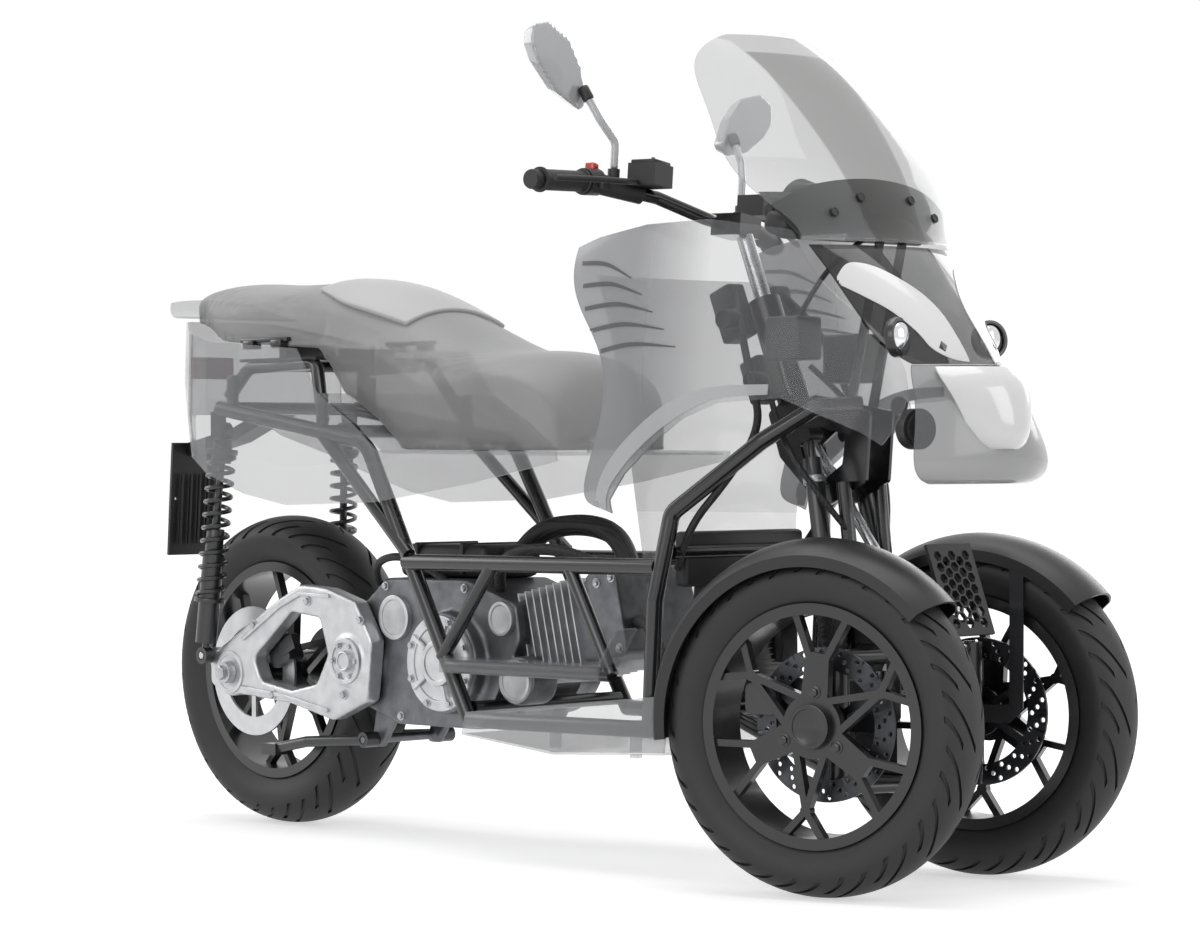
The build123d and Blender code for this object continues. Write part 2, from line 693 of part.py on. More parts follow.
# ---------------------------------------------------------------- panels
def bowed_section(z, x_edge, half, x_middle, wall, tuck):
    """Horizontal section of a bowed sheet: an arc from edge to edge, with its thickness."""
    outer = ThreePointArc((x_edge, -half), (x_middle, 0), (x_edge, half))
    inner = ThreePointArc((x_edge - wall, -half + tuck), (x_middle - wall, 0),
                          (x_edge - wall, half - tuck))
    ends = Line(outer @ 0, inner @ 0) + Line(outer @ 1, inner @ 1)
    return Pos(0, 0, z) * make_face(outer + inner + ends)


def bowed_sheet(rows, wall=shell, tuck=shell / 2):
    """Sheet through horizontal arcs: rows of height, edge x, half width, middle x."""
    return loft([bowed_section(*row, wall, tuck) for row in rows])


SCREEN = [                              # height, edge x, half width, middle x
    (1018, 752, 190, 806), (1090, 700, 228, 764), (1170, 641, 253, 716),
    (1208, 612, 240, 688), (1304, 530, 195, 606), (1345, 508, 150, 558), (1368, 502, 92, 530),
]
DASH = [
    (1024, 722, 150, 790), (1064, 700, 176, 764), (1098, 668, 188, 736),
]
LAMPS = [
    (822, 905, 100, 962), (845, 876, 121, 948), (891, 838, 140, 914), (946, 800, 153, 868),
    (1012, 750, 168, 802),
]
BEAK = [
    (637, 950, 118, 988), (670, 958, 160, 1006), (721, 950, 148, 1002), (789, 925, 124, 982),
    (821.2, 905, 104, 958),
]
NOSE = [
    (690, 996, 40, 1018), (705, 992, 60, 1028), (745, 984, 80, 1028), (785, 968, 94, 1018),
    (818, 940, 90, 994),
]
lens_split = 62                         # clear centre window from the middle plane


screen_wall = 3


def dash_band():
    """Dark band behind the screen's foot, on two posts, with bosses that carry the screen."""
    band = bowed_sheet(DASH, 10)
    bosses = None
    for side in (-1, 1):
        for y, z in ((120, 1064), (60, 1090)):
            boss = rod((715, side * y, z), (800, side * y, z), 7)
            bosses = boss if bosses is None else bosses + boss
    ahead = [(z, x + 80, half + 40, middle + 80) for z, x, half, middle in SCREEN]
    back = 80 + screen_wall + 2 * clear
    bosses -= bowed_sheet(ahead, back, 40 + screen_wall)
    for side in (-1, 1):
        low_y = cheek_y if side > 0 else -cheek_y - cheek_wall
        band += side_plate([(700, 761.5), (716, 758.7), (782, 1030), (768, 1034)],
                           low_y, low_y + cheek_wall)
    return band + bosses


def flank():
    """Right side of the front body, from the lamp back to the leg shield's edge."""
    rows = [                            # height, front x and y, middle y, rear x and y
        (430, 700, -215, -232, 343, -236), (610, 760, -205, -236, 318, -236),
        (720, 905, -150, -236, 340, -236), (822, 893, -112, -228, 352, -232),
        (930, 802, -163, -222, 291, -225), (1014, 738, -180, -214, 272, -213),
        (1066, 700, -176, -200, 290, -196),
    ]
    sections = []
    for z, x_front, y_front, y_middle, x_rear, y_rear in rows:
        middle = ((x_front + x_rear) / 2 - 20, y_middle)
        outer = ThreePointArc((x_front, y_front), middle, (x_rear, y_rear))
        inner = ThreePointArc((x_front - 2, y_front + shell), (middle[0], middle[1] + shell),
                              (x_rear, y_rear + shell))
        ends = Line(outer @ 0, inner @ 0) + Line(outer @ 1, inner @ 1)
        sections.append(Pos(0, 0, z) * make_face(outer + inner + ends))
    panel = loft(sections)
    arch = [(371, 400), (371, 612), (410, 655), (478, 704), (540, 742), (607, 766), (720, 772),
            (860, 716), (1000, 640), (1000, 400)]
    roof = [(200, 1006), (324, 1042), (430, 1058), (560, 1060), (700, 1040), (860, 1006),
            (860, 1120), (200, 1120)]
    panel = panel - side_plate(arch, -300, -50) - side_plate(roof, -300, -50)
    lamp_room = [(z, x + panel_gap, half + panel_gap, middle + panel_gap)
                 for z, x, half, middle in LAMPS]
    panel -= bowed_sheet(lamp_room, 24)
    return panel.solids().sort_by(SortBy.VOLUME)[-1]


UNDERSIDE = [(-1100, 960), (-905, 944), (-740, 902), (-460, 882), (-400, 802), (-300, 746),
             (-232, 698), (300, 692)]


def rear_shell():
    """Hollow tail body from which the side and tail panels are cut."""
    rows = [                            # x, half width, tuck at the bottom, low z, high z
        (-962, 62, 20, 800, 980), (-925, 100, 21, 760, 980), (-885, 128, 20, 728, 980),
        (-810, 182, 8, 688, 980), (-735, 202, 6, 655, 980), (-620, 210, 8, 620, 980),
        (-500, 214, 12, 600, 980), (-250, 220, 12, 606, 980), (0, 221, 12, 638, 980),
        (215, 220, 12, 676, 980),
    ]

    def section(x, half, tuck, low, high):
        points = [(-half + tuck, low), (-half, low + 70), (-half + 6, high), (half - 6, high),
                  (half, low + 70), (half - tuck, low)]
        return Plane(origin=(x, 0, 0), x_dir=(0, 1, 0), z_dir=(1, 0, 0)) * make_face(
            Polyline(*points, close=True))
    outer = loft([section(*row) for row in rows], ruled=True)
    inner_rows = [[x, half - shell, tuck, low - 1, high + 1] for x, half, tuck, low, high in rows]
    inner_rows[0][0] += shell
    inner_rows[-1][0] += 1
    inner = loft([section(*row) for row in inner_rows], ruled=True)
    top = [(x, z - panel_gap) for x, z in UNDERSIDE] + [(300, 1200), (-1100, 1200)]
    return outer - inner - side_plate(top, -300, 300)


def seat_base():
    """Pan under the rider's seat, on bosses on the frame rails, with the seat's hinge bar."""
    line = [(x, z - 3 * panel_gap) for x, z in UNDERSIDE[4:-1]] + [(206, 689)]
    pan = side_plate(line + [(x, z - shell) for x, z in reversed(line)], -200, 200)
    pan += rod((hinge_x, -70, hinge_z), (hinge_x, 70, hinge_z), hinge_pin)
    for y in (-70, 62):
        pan += side_plate([(hinge_x - 12, 688), (hinge_x + 12, 688), (hinge_x + 7, hinge_z + 7),
                           (hinge_x - 7, hinge_z + 7)], y, y + 8)
    for side in (-1, 1):
        pan += block((-312, side * 178 - 8, rail_knee[2] + rail_radius + 0.6),
                     (-296, side * 178 + 8, 740))
    return pan


tail_split_x = -800
belly_rows = [(2, 213), (227, 191), (484, 203), (500, 300), (12, 252)]


hinge_x = 156                           # seat hinge, ahead of the nose
hinge_z = 702
hinge_pin = 4


def seat():
    """Seat: passenger and rider cushions on one base, with hinge lugs at the nose."""
    rows = [                            # x, half width, edge z, crown z
        (-905, 90, 978, 994), (-740, 156, 972, 1006), (-560, 176, 962, 1001),
        (-462, 160, 954, 998), (-330, 150, 916, 968), (-150, 172, 848, 886),
        (0, 178, 826, 862), (136, 128, 754, 784),
    ]
    sections = []
    for x, half, edge, crown in rows:
        low = 640
        line = Polyline((-half, edge), (-half, low), (half, low), (half, edge))
        line += ThreePointArc((-half, edge), (0, crown), (half, edge))
        sections.append(Plane(origin=(x, 0, 0), x_dir=(0, 1, 0), z_dir=(1, 0, 0)) * make_face(
            line))
    under = UNDERSIDE + [(300, 400), (-1100, 400)]
    cushion = loft(sections) - side_plate(under, -300, 300)
    for y in (-56, 40):
        cushion += block((120, y, hinge_z - 7), (hinge_x, y + 16, hinge_z + 7))
        cushion += rod((hinge_x, y, hinge_z), (hinge_x, y + 16, hinge_z), 9)
    return cushion - rod((hinge_x, -80, hinge_z), (hinge_x, 80, hinge_z), hinge_pin + running)


def belly():
    """Open tray under the engine and the rider's feet."""
    outer = side_plate(belly_rows, -232, 232)
    room = side_plate([(-60, 221), (227, 195), (600, 212), (600, 320), (-60, 320)], -228, 228)
    tray = outer - room
    for x in (190, 380):
        for side in (-1, 1):
            top = 236 + (x - 60) * 4 / 364 - rail_radius - clear - 0.2
            tray += block((x, side * 197 - 6, 192), (x + 16, side * 197 + 6, top))
    return tray


def footboard():
    """Rider's right footboard, on the frame's middle brace, with an upturned front."""
    line = [(-60, 337.3), (330, 337.3), (376, 400)]
    board = side_plate(line + [(372, 403), (328, 341.3), (-60, 341.3)], -226, -180)
    board += side_plate([(-60, 337.3), (330, 337.3), (330, 316), (-60, 316)], -226, -222)
    board -= rod((330, -194, 325), (230, -193, 500), cross_radius + 2 * clear)
    return board - rod((40, -192, 500), (-92, -190, 338), cross_radius + 2 * clear)


def leg_shield():
    """Rider's side of the front body: a bowed wall behind the steering column."""
    rows = [(310, 404, 150, 380), (503, 393, 193.7 - rail_radius - clear, 350),
            (760, 374, 205, 330), (980, 318, 208, 300)]
    return bowed_sheet([(z, x, half, middle) for z, x, half, middle in rows], shell)


def honeycomb():
    """Radiator guard between the wheels: a frame full of hexagonal openings."""
    width = 104
    height = 150
    cell = 9
    panel = Rectangle(width, height)
    step_x = cell * 1.5 + 3
    step_y = cell * 1.732 + 3
    columns = int(width / 2 / step_x)
    lines = int(height / 2 / step_y)
    for column in range(-columns, columns + 1):
        for line in range(-lines, lines + 1):
            lift = step_y / 2 if column % 2 else 0
            spot = (column * step_x, line * step_y + lift)
            if abs(spot[0]) < width / 2 - cell - 2 and abs(spot[1]) < height / 2 - cell - 2:
                panel -= Pos(*spot) * RegularPolygon(cell, 6)
    guard = Pos(907, 0, 470) * Rot(0, 70, 0) * Rot(0, 0, 90) * extrude(panel, amount=6)
    plate_x = front_axle_x + arm_span / 2 + clear + plate_wall
    for y in (-46.5, 46.5):
        guard += rod((plate_x + clear, y, 418), (928, y, 418), 3.5)
    return guard


def horn():
    """Round horn on the right of the nose."""
    body = rod((925, -110, 722), (905, -106, 722), 31.6)
    return body + rod((905, -106, 722), (880, -101, 722), 12)


def plate_holder():
    """Number plate holder behind the rear wheel, with its arm and a blank plate."""
    plate = side_plate([(-1018, 716), (-1034, 500), (-1028, 499), (-1012, 716)], -62, 62)
    for side in (-1, 1):
        hole = rod((-1040, side * 50, 608 - 14 * 16 / 216), (-1006, side * 50, 608 + 20 * 16 / 216), 3.25)
        plate -= hole
    rest_x = rail_rear[0] - cross_radius - clear
    arm = side_plate([(-1016, 716), (-1012, 690), (-880, 716), (rest_x, 765), (rest_x, 790),
                      (-880, 742)], -24, 24)
    return plate + arm


def tail_lamp():
    """Tail lamp set in the rear of the tail panel."""
    return block((-974, -48, 838), (-963 - clear, 48, 880))


def centre_stand():
    """Centre stand folded up behind its pin under the engine."""
    foot_x = stand_x - 236
    leg = tube([(stand_x, -96, stand_z), (stand_x - 150, -112, 166), (foot_x, -112, 150)], 10, 30)
    leg += rod((stand_x, -106, stand_z), (stand_x, -74 - clear, stand_z), 14)
    leg += block((foot_x - 28, -126, 138), (foot_x + 12, -98, 158))
    stand = leg + left_of(leg)
    stand += rod((stand_x - 34, -99, 174), (stand_x - 34, 99, 174), 7)
    return stand - rod((stand_x, -120, stand_z), (stand_x, 120, stand_z), 8 + running)


if __name__ == "__main__":
    build_wheels()
    save("swing_arm", swing_arm())
    save("rear_shocks", shock(), left_of(shock()))
    save("engine_block", engine_block())
    save("transmission_case", transmission_case())
    save("rear_caliper", rear_caliper())
    save("frame_side_right", side_frame())
    save("frame_side_left", left_of(side_frame()))
    save("frame_cross", *cross_frame())
    save("seat_hoop", seat_hoop())
    save("steering_head", steering_head())
    save("tilt_frame", tilt_frame())
    high_arm = suspension_arm(arm_high_z)
    low_arm = suspension_arm(arm_low_z)
    save("suspension_arms", high_arm, low_arm, left_of(high_arm), left_of(low_arm))
    save("tilt_cylinders", tilt_cylinder(), left_of(tilt_cylinder()))
    save("bell_crank", turned(bell_crank(), (front_axle_x, 0, 0), (0, 0, 1), steer_turn))
    for name, up, side in (("right", True, 1), ("left", False, -1)):
        shift, link = tie_rod(up)
        link = link if side > 0 else left_of(link)
        save(f"tie_rod_{name}", Pos(shift[0], shift[1], 0) * link)
    save("steering_shaft", steering_shaft())
    save("handlebar", on_steering(handlebar()))
    save("steering_column", on_steering(steering_column()))
    save("grips", on_steering(grip()), on_steering(left_of(grip())))
    save("controls", on_steering(control()), on_steering(left_of(control())))
    save("mirrors", on_steering(rear_mirror()), on_steering(left_of(rear_mirror())))
    save("windscreen", bowed_sheet(SCREEN, screen_wall, screen_wall / 2))
    save("dash_band", dash_band())
    lamp_band = bowed_sheet(LAMPS)
    side_cut = block((700, lens_split, 800), (1000, 300, 1100))
    save("lamp_right", lamp_band & left_of(side_cut))
    save("lamp_left", lamp_band & side_cut)
    save("lamp_window", lamp_band & block((700, -lens_split + panel_gap, 800),
                                          (1000, lens_split - panel_gap, 1100)))
    save("beak", bowed_sheet(BEAK))
    behind = [(z, x + clear, half, middle + clear) for z, x, half, middle in BEAK]
    save("nose", bowed_sheet(NOSE) - bowed_sheet(behind, 60))
    save("flank_right", flank())
    save("flank_left", left_of(flank()))
    shield = leg_shield() - flank() - left_of(flank())
    save("leg_shield", shield.solids().sort_by(SortBy.VOLUME)[-1])
    body = rear_shell()
    right = body & block((tail_split_x + panel_gap, -400, 500), (400, 0, 1000))
    share = (-600 - rail_rear[0]) / (rail_knee[0] - rail_rear[0])
    x, y, z = between(rail_rear, rail_knee, share)
    right += rod((x, y - rail_radius - clear - 0.2, z), (x, -205, z), 8)
    save("side_panel_right", right)
    save("side_panel_left", left_of(right))
    save("seat_base", seat_base())
    save("tail_panel", body & block((-1200, -400, 500), (tail_split_x, 400, 1000)))
    save("tail_lamp", tail_lamp())
    save("seat", seat())
    save("belly", belly())
    save("footboards", footboard(), left_of(footboard()))
    save("honeycomb", honeycomb())
    save("horn", horn())
    save("plate_holder", plate_holder())
    save("centre_stand", centre_stand())
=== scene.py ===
"""Dress the reverse trike: see-through shells over its frame, suspension and engine."""

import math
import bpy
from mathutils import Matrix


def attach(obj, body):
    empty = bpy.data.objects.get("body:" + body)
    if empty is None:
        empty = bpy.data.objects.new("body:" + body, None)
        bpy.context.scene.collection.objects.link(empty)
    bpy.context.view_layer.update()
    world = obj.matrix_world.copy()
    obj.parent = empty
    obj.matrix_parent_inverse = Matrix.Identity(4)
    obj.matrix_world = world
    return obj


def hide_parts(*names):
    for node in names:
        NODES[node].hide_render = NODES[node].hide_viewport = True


bl_info = {
    "name": "Reverse Trike",
    "version": (1, 0, 0),
    "blender": (4, 5, 0),
    "location": "View3D > Sidebar > Trike",
    "description": "Finishes and fittings for a leaning three-wheeled scooter",
    "category": "Object",
}

import bpy
from mathutils import Matrix, Vector
from mathutils.bvhtree import BVHTree

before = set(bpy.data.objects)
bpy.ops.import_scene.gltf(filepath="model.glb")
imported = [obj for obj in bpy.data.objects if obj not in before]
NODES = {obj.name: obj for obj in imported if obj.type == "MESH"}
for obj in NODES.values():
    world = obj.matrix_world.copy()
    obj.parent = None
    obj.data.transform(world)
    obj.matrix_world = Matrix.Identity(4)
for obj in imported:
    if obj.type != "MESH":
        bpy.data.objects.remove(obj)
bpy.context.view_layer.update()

# Sizes are in metres about the machine's own middle plane, which stands here in the frame.
SHIFT = Vector((-0.016, 0.031, 0))
SIDES = (("right", -1), ("left", 1))
UP = Vector((0, 0, 1))
RIGHTWARDS = (0, -1, 0)
LEFTWARDS = (0, 1, 0)
BEYOND = 2.0
WELD = 0.00001
SHARP = math.radians(50)

# The bars and both front wheels stand turned by one angle, about the raked column and the upright
# kingpins. Points on the bars are given for the left side and for bars set straight ahead, and the
# mirror's outline runs across and down from the middle of its head.
STEER = math.radians(14.3)
STEER_TOP = Vector((0.446, 0, 1.059))
STEER_AXIS = Vector((-0.127, 0, 0.319)).normalized()
GRIP_IN = (0.301, 0.245, 1.104)
GRIP_OUT = (0.287, 0.372, 1.089)
MIRROR_NECK = (0.303, 0.228, 1.208)
MIRROR_TIP = (0.281, 0.238, 1.248)
MIRROR_MIDDLE = (0.273, 0.300, 1.276)
MIRROR_OUTLINE = ((0.078, -0.058), (0.041, -0.070), (-0.022, -0.053), (-0.056, -0.016),
                  (-0.077, 0.032), (-0.062, 0.048), (0.004, 0.031), (0.062, -0.005),
                  (0.080, -0.028))

# Wheels and brakes. A tyre has its tread's radius, the radius where it is widest and half its width
# there, and the radius and half-width of its seat on the rim. The spokes' turn is in degrees, and
# the sweep of a groove from crown to shoulder is in radians.
AXLE_X = 0.795
KINGPIN_Y = 0.160
WHEEL_Y = 0.205
FRONT_HUB_Z = 0.266
REAR_HUB = Vector((-0.725, 0, 0.2885))
SPOKE_TURN = -5.5
RIM_LIP = 0.012
FRONT_TYRE = dict(radius=0.266, belly=0.228, half=0.0555, bead=0.178, seat=0.038)
REAR_TYRE = dict(radius=0.2885, belly=0.246, half=0.0695, bead=0.1905, seat=0.048)
GROOVE_SWEEP = 0.42
DISC_RINGS = (0.093, 0.103, 0.113)
DISC_HOLES = 22

# Suspension, given for the left side
SHOCK_TOP = (-0.748, 0.146, 0.736)
SHOCK_LOW = (-0.784, 0.166, 0.318)
TILT_TOP = (0.640, 0.050, 0.716)
TILT_LOW = (0.761, 0.094, 0.1723)

# Engine and swing arm, as x, z places on their side faces
CRANK = (-0.150, 0.325)
BELT_WHEEL = (-0.160, 0.335)
ARM_PIVOT = (-0.388, 0.321)
ARM_FACE = -0.152

# Screen, shells and seat. The wheel arch is given as x, z with a step out to its band's outer edge,
# the lamp brow as y, z, and the back pad's left edge as x, y. A thin sheet lies a lift above its
# node. The lean of the boxes at the steering head is in radians.
SMOKE_LOW = 1.02
SMOKE_HIGH = 1.335
SMOKE_WIDTHS = (0.060, 0.100)
ARCH_EDGE = ((0.700, 0.778, 0, 0.016), (0.607, 0.772, 0, 0.020), (0.538, 0.748, -0.010, 0.026),
             (0.472, 0.712, -0.018, 0.024), (0.404, 0.662, -0.026, 0.016),
             (0.366, 0.614, -0.024, 0.004), (0.366, 0.540, -0.016, 0), (0.366, 0.470, -0.006, 0))
BROW_TOP = ((0.158, 0.953), (0.141, 0.975), (0.123, 0.983), (0.094, 0.976), (0.063, 0.953),
            (0.043, 0.930), (0.031, 0.901), (0.029, 0.860), (0.029, 0.826))
BROW_FOOT = ((0.157, 0.951), (0.148, 0.943), (0.129, 0.926), (0.108, 0.905), (0.089, 0.874),
             (0.078, 0.846), (0.056, 0.830), (0.033, 0.825))
LAMP_Y = 0.109
LAMP_Z = 0.865
LOUVRES = 5
HEAD_LEAN = -0.38
SHEET_LIFT = 0.0012
SHEET_WALL = 0.0016
SEAT_SWELL = 0.006
SEAT_PRESSURE = 2.5
SEAT_FRAMES = 10
SEAT_VOXEL = 0.006
BACK_PAD_EDGE = ((-0.500, 0.118), (-0.420, 0.136), (-0.340, 0.130), (-0.262, 0.118))

# Studio: a ray may cross many see-through layers before it is stopped.
CAMERA = Vector((4.6016, -4.3646, 0.6757))
CAMERA_RIGHT = Vector((0.69649, 0.71754, -0.00619))
CAMERA_UP = Vector((0.00324, 0.00549, 0.99998))
CAMERA_AHEAD = Vector((-0.71756, 0.69650, -0.00150))
CAMERA_LENS = 109.28
CAMERA_REACH = 200.0
FLOOR_Z = -0.0015
LAMP_TARGET = Vector((0, 0, 0.55))
STUDIO_LAMPS = (
    ("overhead_softbox", (0.0, 0.0, 4.2), 4.5, 3.0, 210),
    ("right_softbox", (1.2, -4.4, 2.3), 3.0, 2.4, 130),
    ("front_softbox", (4.6, 1.6, 2.2), 2.4, 2.4, 100),
    ("rear_softbox", (-4.0, -1.6, 2.4), 2.4, 2.0, 90),
    ("left_softbox", (-0.8, 4.2, 2.2), 3.0, 2.0, 90),
)
WORLD_FILL = 0.22
FLOOR_LIFT = 0.56
FLOOR_FADE = (1.6, 5.0)
CLEAR_LAYERS = 32


# ---------------------------------------------------------------- shader tools
def linear(hex_colour):
    """Linear RGBA of an sRGB hex value."""
    parts = [int(hex_colour[i:i + 2], 16) / 255 for i in (1, 3, 5)]
    return [v / 12.92 if v <= 0.04045 else ((v + 0.055) / 1.055) ** 2.4 for v in parts] + [1.0]


def add(mat, kind, inputs, out=0, **settings):
    """Add a shader node with its settings, values and links; give one output, or the node."""
    made = mat.node_tree.nodes.new("ShaderNode" + kind)
    for name, value in settings.items():
        setattr(made, name, value)
    for name, value in inputs.items():
        if isinstance(value, bpy.types.NodeSocket):
            mat.node_tree.links.new(value, made.inputs[name])
        else:
            made.inputs[name].default_value = value
    return made if out is None else made.outputs[out]


def start(name):
    """A new empty material, and the surface's own coordinates."""
    mat = bpy.data.materials.new(name)
    mat.use_nodes = True
    mat.node_tree.nodes.clear()
    return mat, add(mat, "TexCoord", {}, "Object")


def done(mat, shader):
    """Wire a material's last shader to its output."""
    add(mat, "OutputMaterial", {"Surface": shader}, None)
    return mat


def mottled(mat, where, scale, dark, light):
    """Colour that drifts between two sRGB values in blotches of about 1/scale metres."""
    blotch = add(mat, "TexNoise", {"Vector": where, "Scale": scale, "Detail": 3.0})
    return add(mat, "Mix", {"Factor": blotch, "A": linear(dark), "B": linear(light)}, 2,
               data_type="RGBA")


# ---------------------------------------------------------------- materials
def grained(name, dark, light, blotch, grain, rough, relief, extra=None):
    """Mottled surface whose fine grain shows in its gloss, from rough[0] to rough[1], and relief."""
    mat, where = start(name)
    fine = add(mat, "TexNoise", {"Vector": where, "Scale": grain, "Detail": 3.0})
    return done(mat, add(mat, "BsdfPrincipled", {
        "Base Color": mottled(mat, where, blotch, dark, light),
        "Roughness": add(mat, "MapRange", {"Value": fine, "To Min": rough[0], "To Max": rough[1]}),
        "Normal": add(mat, "Bump", {"Height": fine, "Strength": relief, "Distance": 0.001}),
        **(extra or {}),
    }))


def powder_coat(name, dark, light, rough):
    """Powder coat: a baked film with a slight orange peel about 2 mm across, under a thin gloss."""
    return grained(name, dark, light, 14.0, 450.0, (rough, rough + 0.12), 0.12,
                   {"Coat Weight": 0.35, "Coat Roughness": 0.12})


def bare_metal(name, dark, light, rough, grain):
    """Bare metal: pale with duller hollows; a coarse grain where cast, a fine one where ground."""
    mat, where = start(name)
    fine = add(mat, "TexNoise", {"Vector": where, "Scale": grain, "Detail": 4.0})
    return done(mat, add(mat, "BsdfPrincipled", {
        "Base Color": mottled(mat, where, 34.0, dark, light),
        "Metallic": 0.85,
        "Roughness": add(mat, "MapRange", {"Value": fine, "To Min": rough, "To Max": rough + 0.16}),
        "Normal": add(mat, "Bump", {"Height": fine, "Strength": 0.25, "Distance": 0.001}),
    }))


def grained_plastic(name, dark, light, rough):
    """Moulded polypropylene: low sheen over a fine spark-eroded grain about 1 mm across."""
    return grained(name, dark, light, 9.0, 900.0, (rough, rough + 0.14), 0.18)


def gloss_film(mat, where, rough):
    """Roughness of a smooth shell, with faint dull patches."""
    patch = add(mat, "TexNoise", {"Vector": where, "Scale": 40.0, "Detail": 3.0})
    return add(mat, "MapRange", {"Value": patch, "To Min": rough, "To Max": rough + 0.05})


def clear_shell(name, dark, light, alpha, rough=0.12):
    """Thin tinted polycarbonate: see-through, glossy, denser where it is seen edge on."""
    mat, where = start(name)
    edge_on = add(mat, "LayerWeight", {"Blend": 0.35}, "Facing")
    return done(mat, add(mat, "BsdfPrincipled", {
        "Base Color": mottled(mat, where, 3.0, dark, light),
        "Roughness": gloss_film(mat, where, rough),
        "Coat Weight": 0.4, "Coat Roughness": 0.05,
        "Alpha": add(mat, "MapRange", {"Value": edge_on, "To Min": alpha,
                                       "To Max": min(1.0, alpha + 0.22)}),
    }))


def fading_shell():
    """Front shell moulded thin at its nose and thicker at its rear: clearer towards the front."""
    mat, where = start("grey clear front shell")
    ahead = add(mat, "SeparateXYZ", {0: where}, "X")
    edge_on = add(mat, "LayerWeight", {"Blend": 0.35}, "Facing")
    thin = add(mat, "MapRange", {"Value": ahead, "From Min": 0.40, "From Max": 0.56,
                                 "To Min": 0.58, "To Max": 0.14})
    edge = add(mat, "Math", {0: edge_on, 1: 0.2}, operation="MULTIPLY")
    return done(mat, add(mat, "BsdfPrincipled", {
        "Base Color": mottled(mat, where, 3.0, "#929396", "#a9aaad"),
        "Roughness": gloss_film(mat, where, 0.12),
        "Coat Weight": 0.4, "Coat Roughness": 0.05,
        "Alpha": add(mat, "Math", {0: thin, 1: edge}, operation="ADD"),
    }))


def tinted_screen():
    """Cast acrylic screen: clear grey, with a smoked field that widens up its middle."""
    mat, where = start("cast acrylic screen")
    place = add(mat, "SeparateXYZ", {0: where}, None).outputs
    rise = add(mat, "MapRange", {"Value": place["Z"], "From Min": SMOKE_LOW,
                                 "From Max": SMOKE_HIGH})
    across = add(mat, "Math", {0: place["Y"], 1: SHIFT.y}, operation="SUBTRACT")
    off_middle = add(mat, "Math", {0: across}, operation="ABSOLUTE")
    half_width = add(mat, "MapRange", {"Value": rise, "To Min": SMOKE_WIDTHS[0],
                                       "To Max": SMOKE_WIDTHS[1]})
    room = add(mat, "Math", {0: half_width, 1: off_middle}, operation="SUBTRACT")
    inside = add(mat, "MapRange", {"Value": room, "From Min": -0.001, "From Max": 0.001})
    below = add(mat, "MapRange", {"Value": place["Z"], "From Min": SMOKE_HIGH + 0.001,
                                  "From Max": SMOKE_HIGH - 0.001})
    field = add(mat, "Math", {0: inside, 1: below}, operation="MULTIPLY")
    tint = add(mat, "MapRange", {"Value": field, "To Min": 0.16, "To Max": 0.30})
    edge_on = add(mat, "LayerWeight", {"Blend": 0.5}, "Facing")
    edge = add(mat, "Math", {0: edge_on, 1: 0.40}, operation="MULTIPLY")
    return done(mat, add(mat, "BsdfPrincipled", {
        "Base Color": add(mat, "Mix", {"Factor": field, "A": linear("#98999a"),
                                       "B": linear("#5e5c5b")}, 2, data_type="RGBA"),
        "Roughness": 0.05, "Coat Weight": 0.4, "Coat Roughness": 0.03,
        "Alpha": add(mat, "Math", {0: tint, 1: edge}, operation="ADD"),
    }))


def stretched_vinyl(name, dark, light, rough, alpha):
    """Vinyl stretched over foam: soft grey, a fine leather grain about 2 mm across, slight sheen."""
    mat, where = start(name)
    grain = add(mat, "TexVoronoi", {"Vector": where, "Scale": 420.0}, "Distance")
    worn = add(mat, "TexNoise", {"Vector": where, "Scale": 60.0, "Detail": 3.0})
    return done(mat, add(mat, "BsdfPrincipled", {
        "Base Color": mottled(mat, where, 5.0, dark, light),
        "Roughness": add(mat, "MapRange", {"Value": worn, "To Min": rough, "To Max": rough + 0.12}),
        "Sheen Weight": 0.3, "Sheen Roughness": 0.4, "Alpha": alpha,
        "Normal": add(mat, "Bump", {"Height": grain, "Strength": 0.1, "Distance": 0.001}),
    }))


def painted_plastic(name, colour, rough):
    """Painted ABS under clear lacquer: even colour and deep gloss."""
    mat, where = start(name)
    mist = add(mat, "TexNoise", {"Vector": where, "Scale": 300.0, "Detail": 3.0})
    peel = add(mat, "TexNoise", {"Vector": where, "Scale": 500.0, "Detail": 3.0})
    return done(mat, add(mat, "BsdfPrincipled", {
        "Base Color": linear(colour),
        "Roughness": add(mat, "MapRange", {"Value": mist, "To Min": rough, "To Max": rough + 0.06}),
        "Coat Weight": 0.8, "Coat Roughness": 0.04,
        "Normal": add(mat, "Bump", {"Height": peel, "Strength": 0.02, "Distance": 0.001}),
    }))


def ribbed_rubber():
    """Soft grip and boot rubber: black, dull, with fine rings moulded across it every 4 mm."""
    mat, where = start("soft ribbed rubber")
    across = add(mat, "SeparateXYZ", {0: where}, "Y")
    phase = add(mat, "Math", {0: across, 1: 1500.0}, operation="MULTIPLY")
    rings = add(mat, "Math", {0: phase}, operation="SINE")
    worn = add(mat, "TexNoise", {"Vector": where, "Scale": 400.0, "Detail": 3.0})
    return done(mat, add(mat, "BsdfPrincipled", {
        "Base Color": mottled(mat, where, 80.0, "#121212", "#1d1d1d"),
        "Roughness": add(mat, "MapRange", {"Value": worn, "To Min": 0.5, "To Max": 0.66}),
        "Normal": add(mat, "Bump", {"Height": rings, "Strength": 0.4, "Distance": 0.001}),
    }))


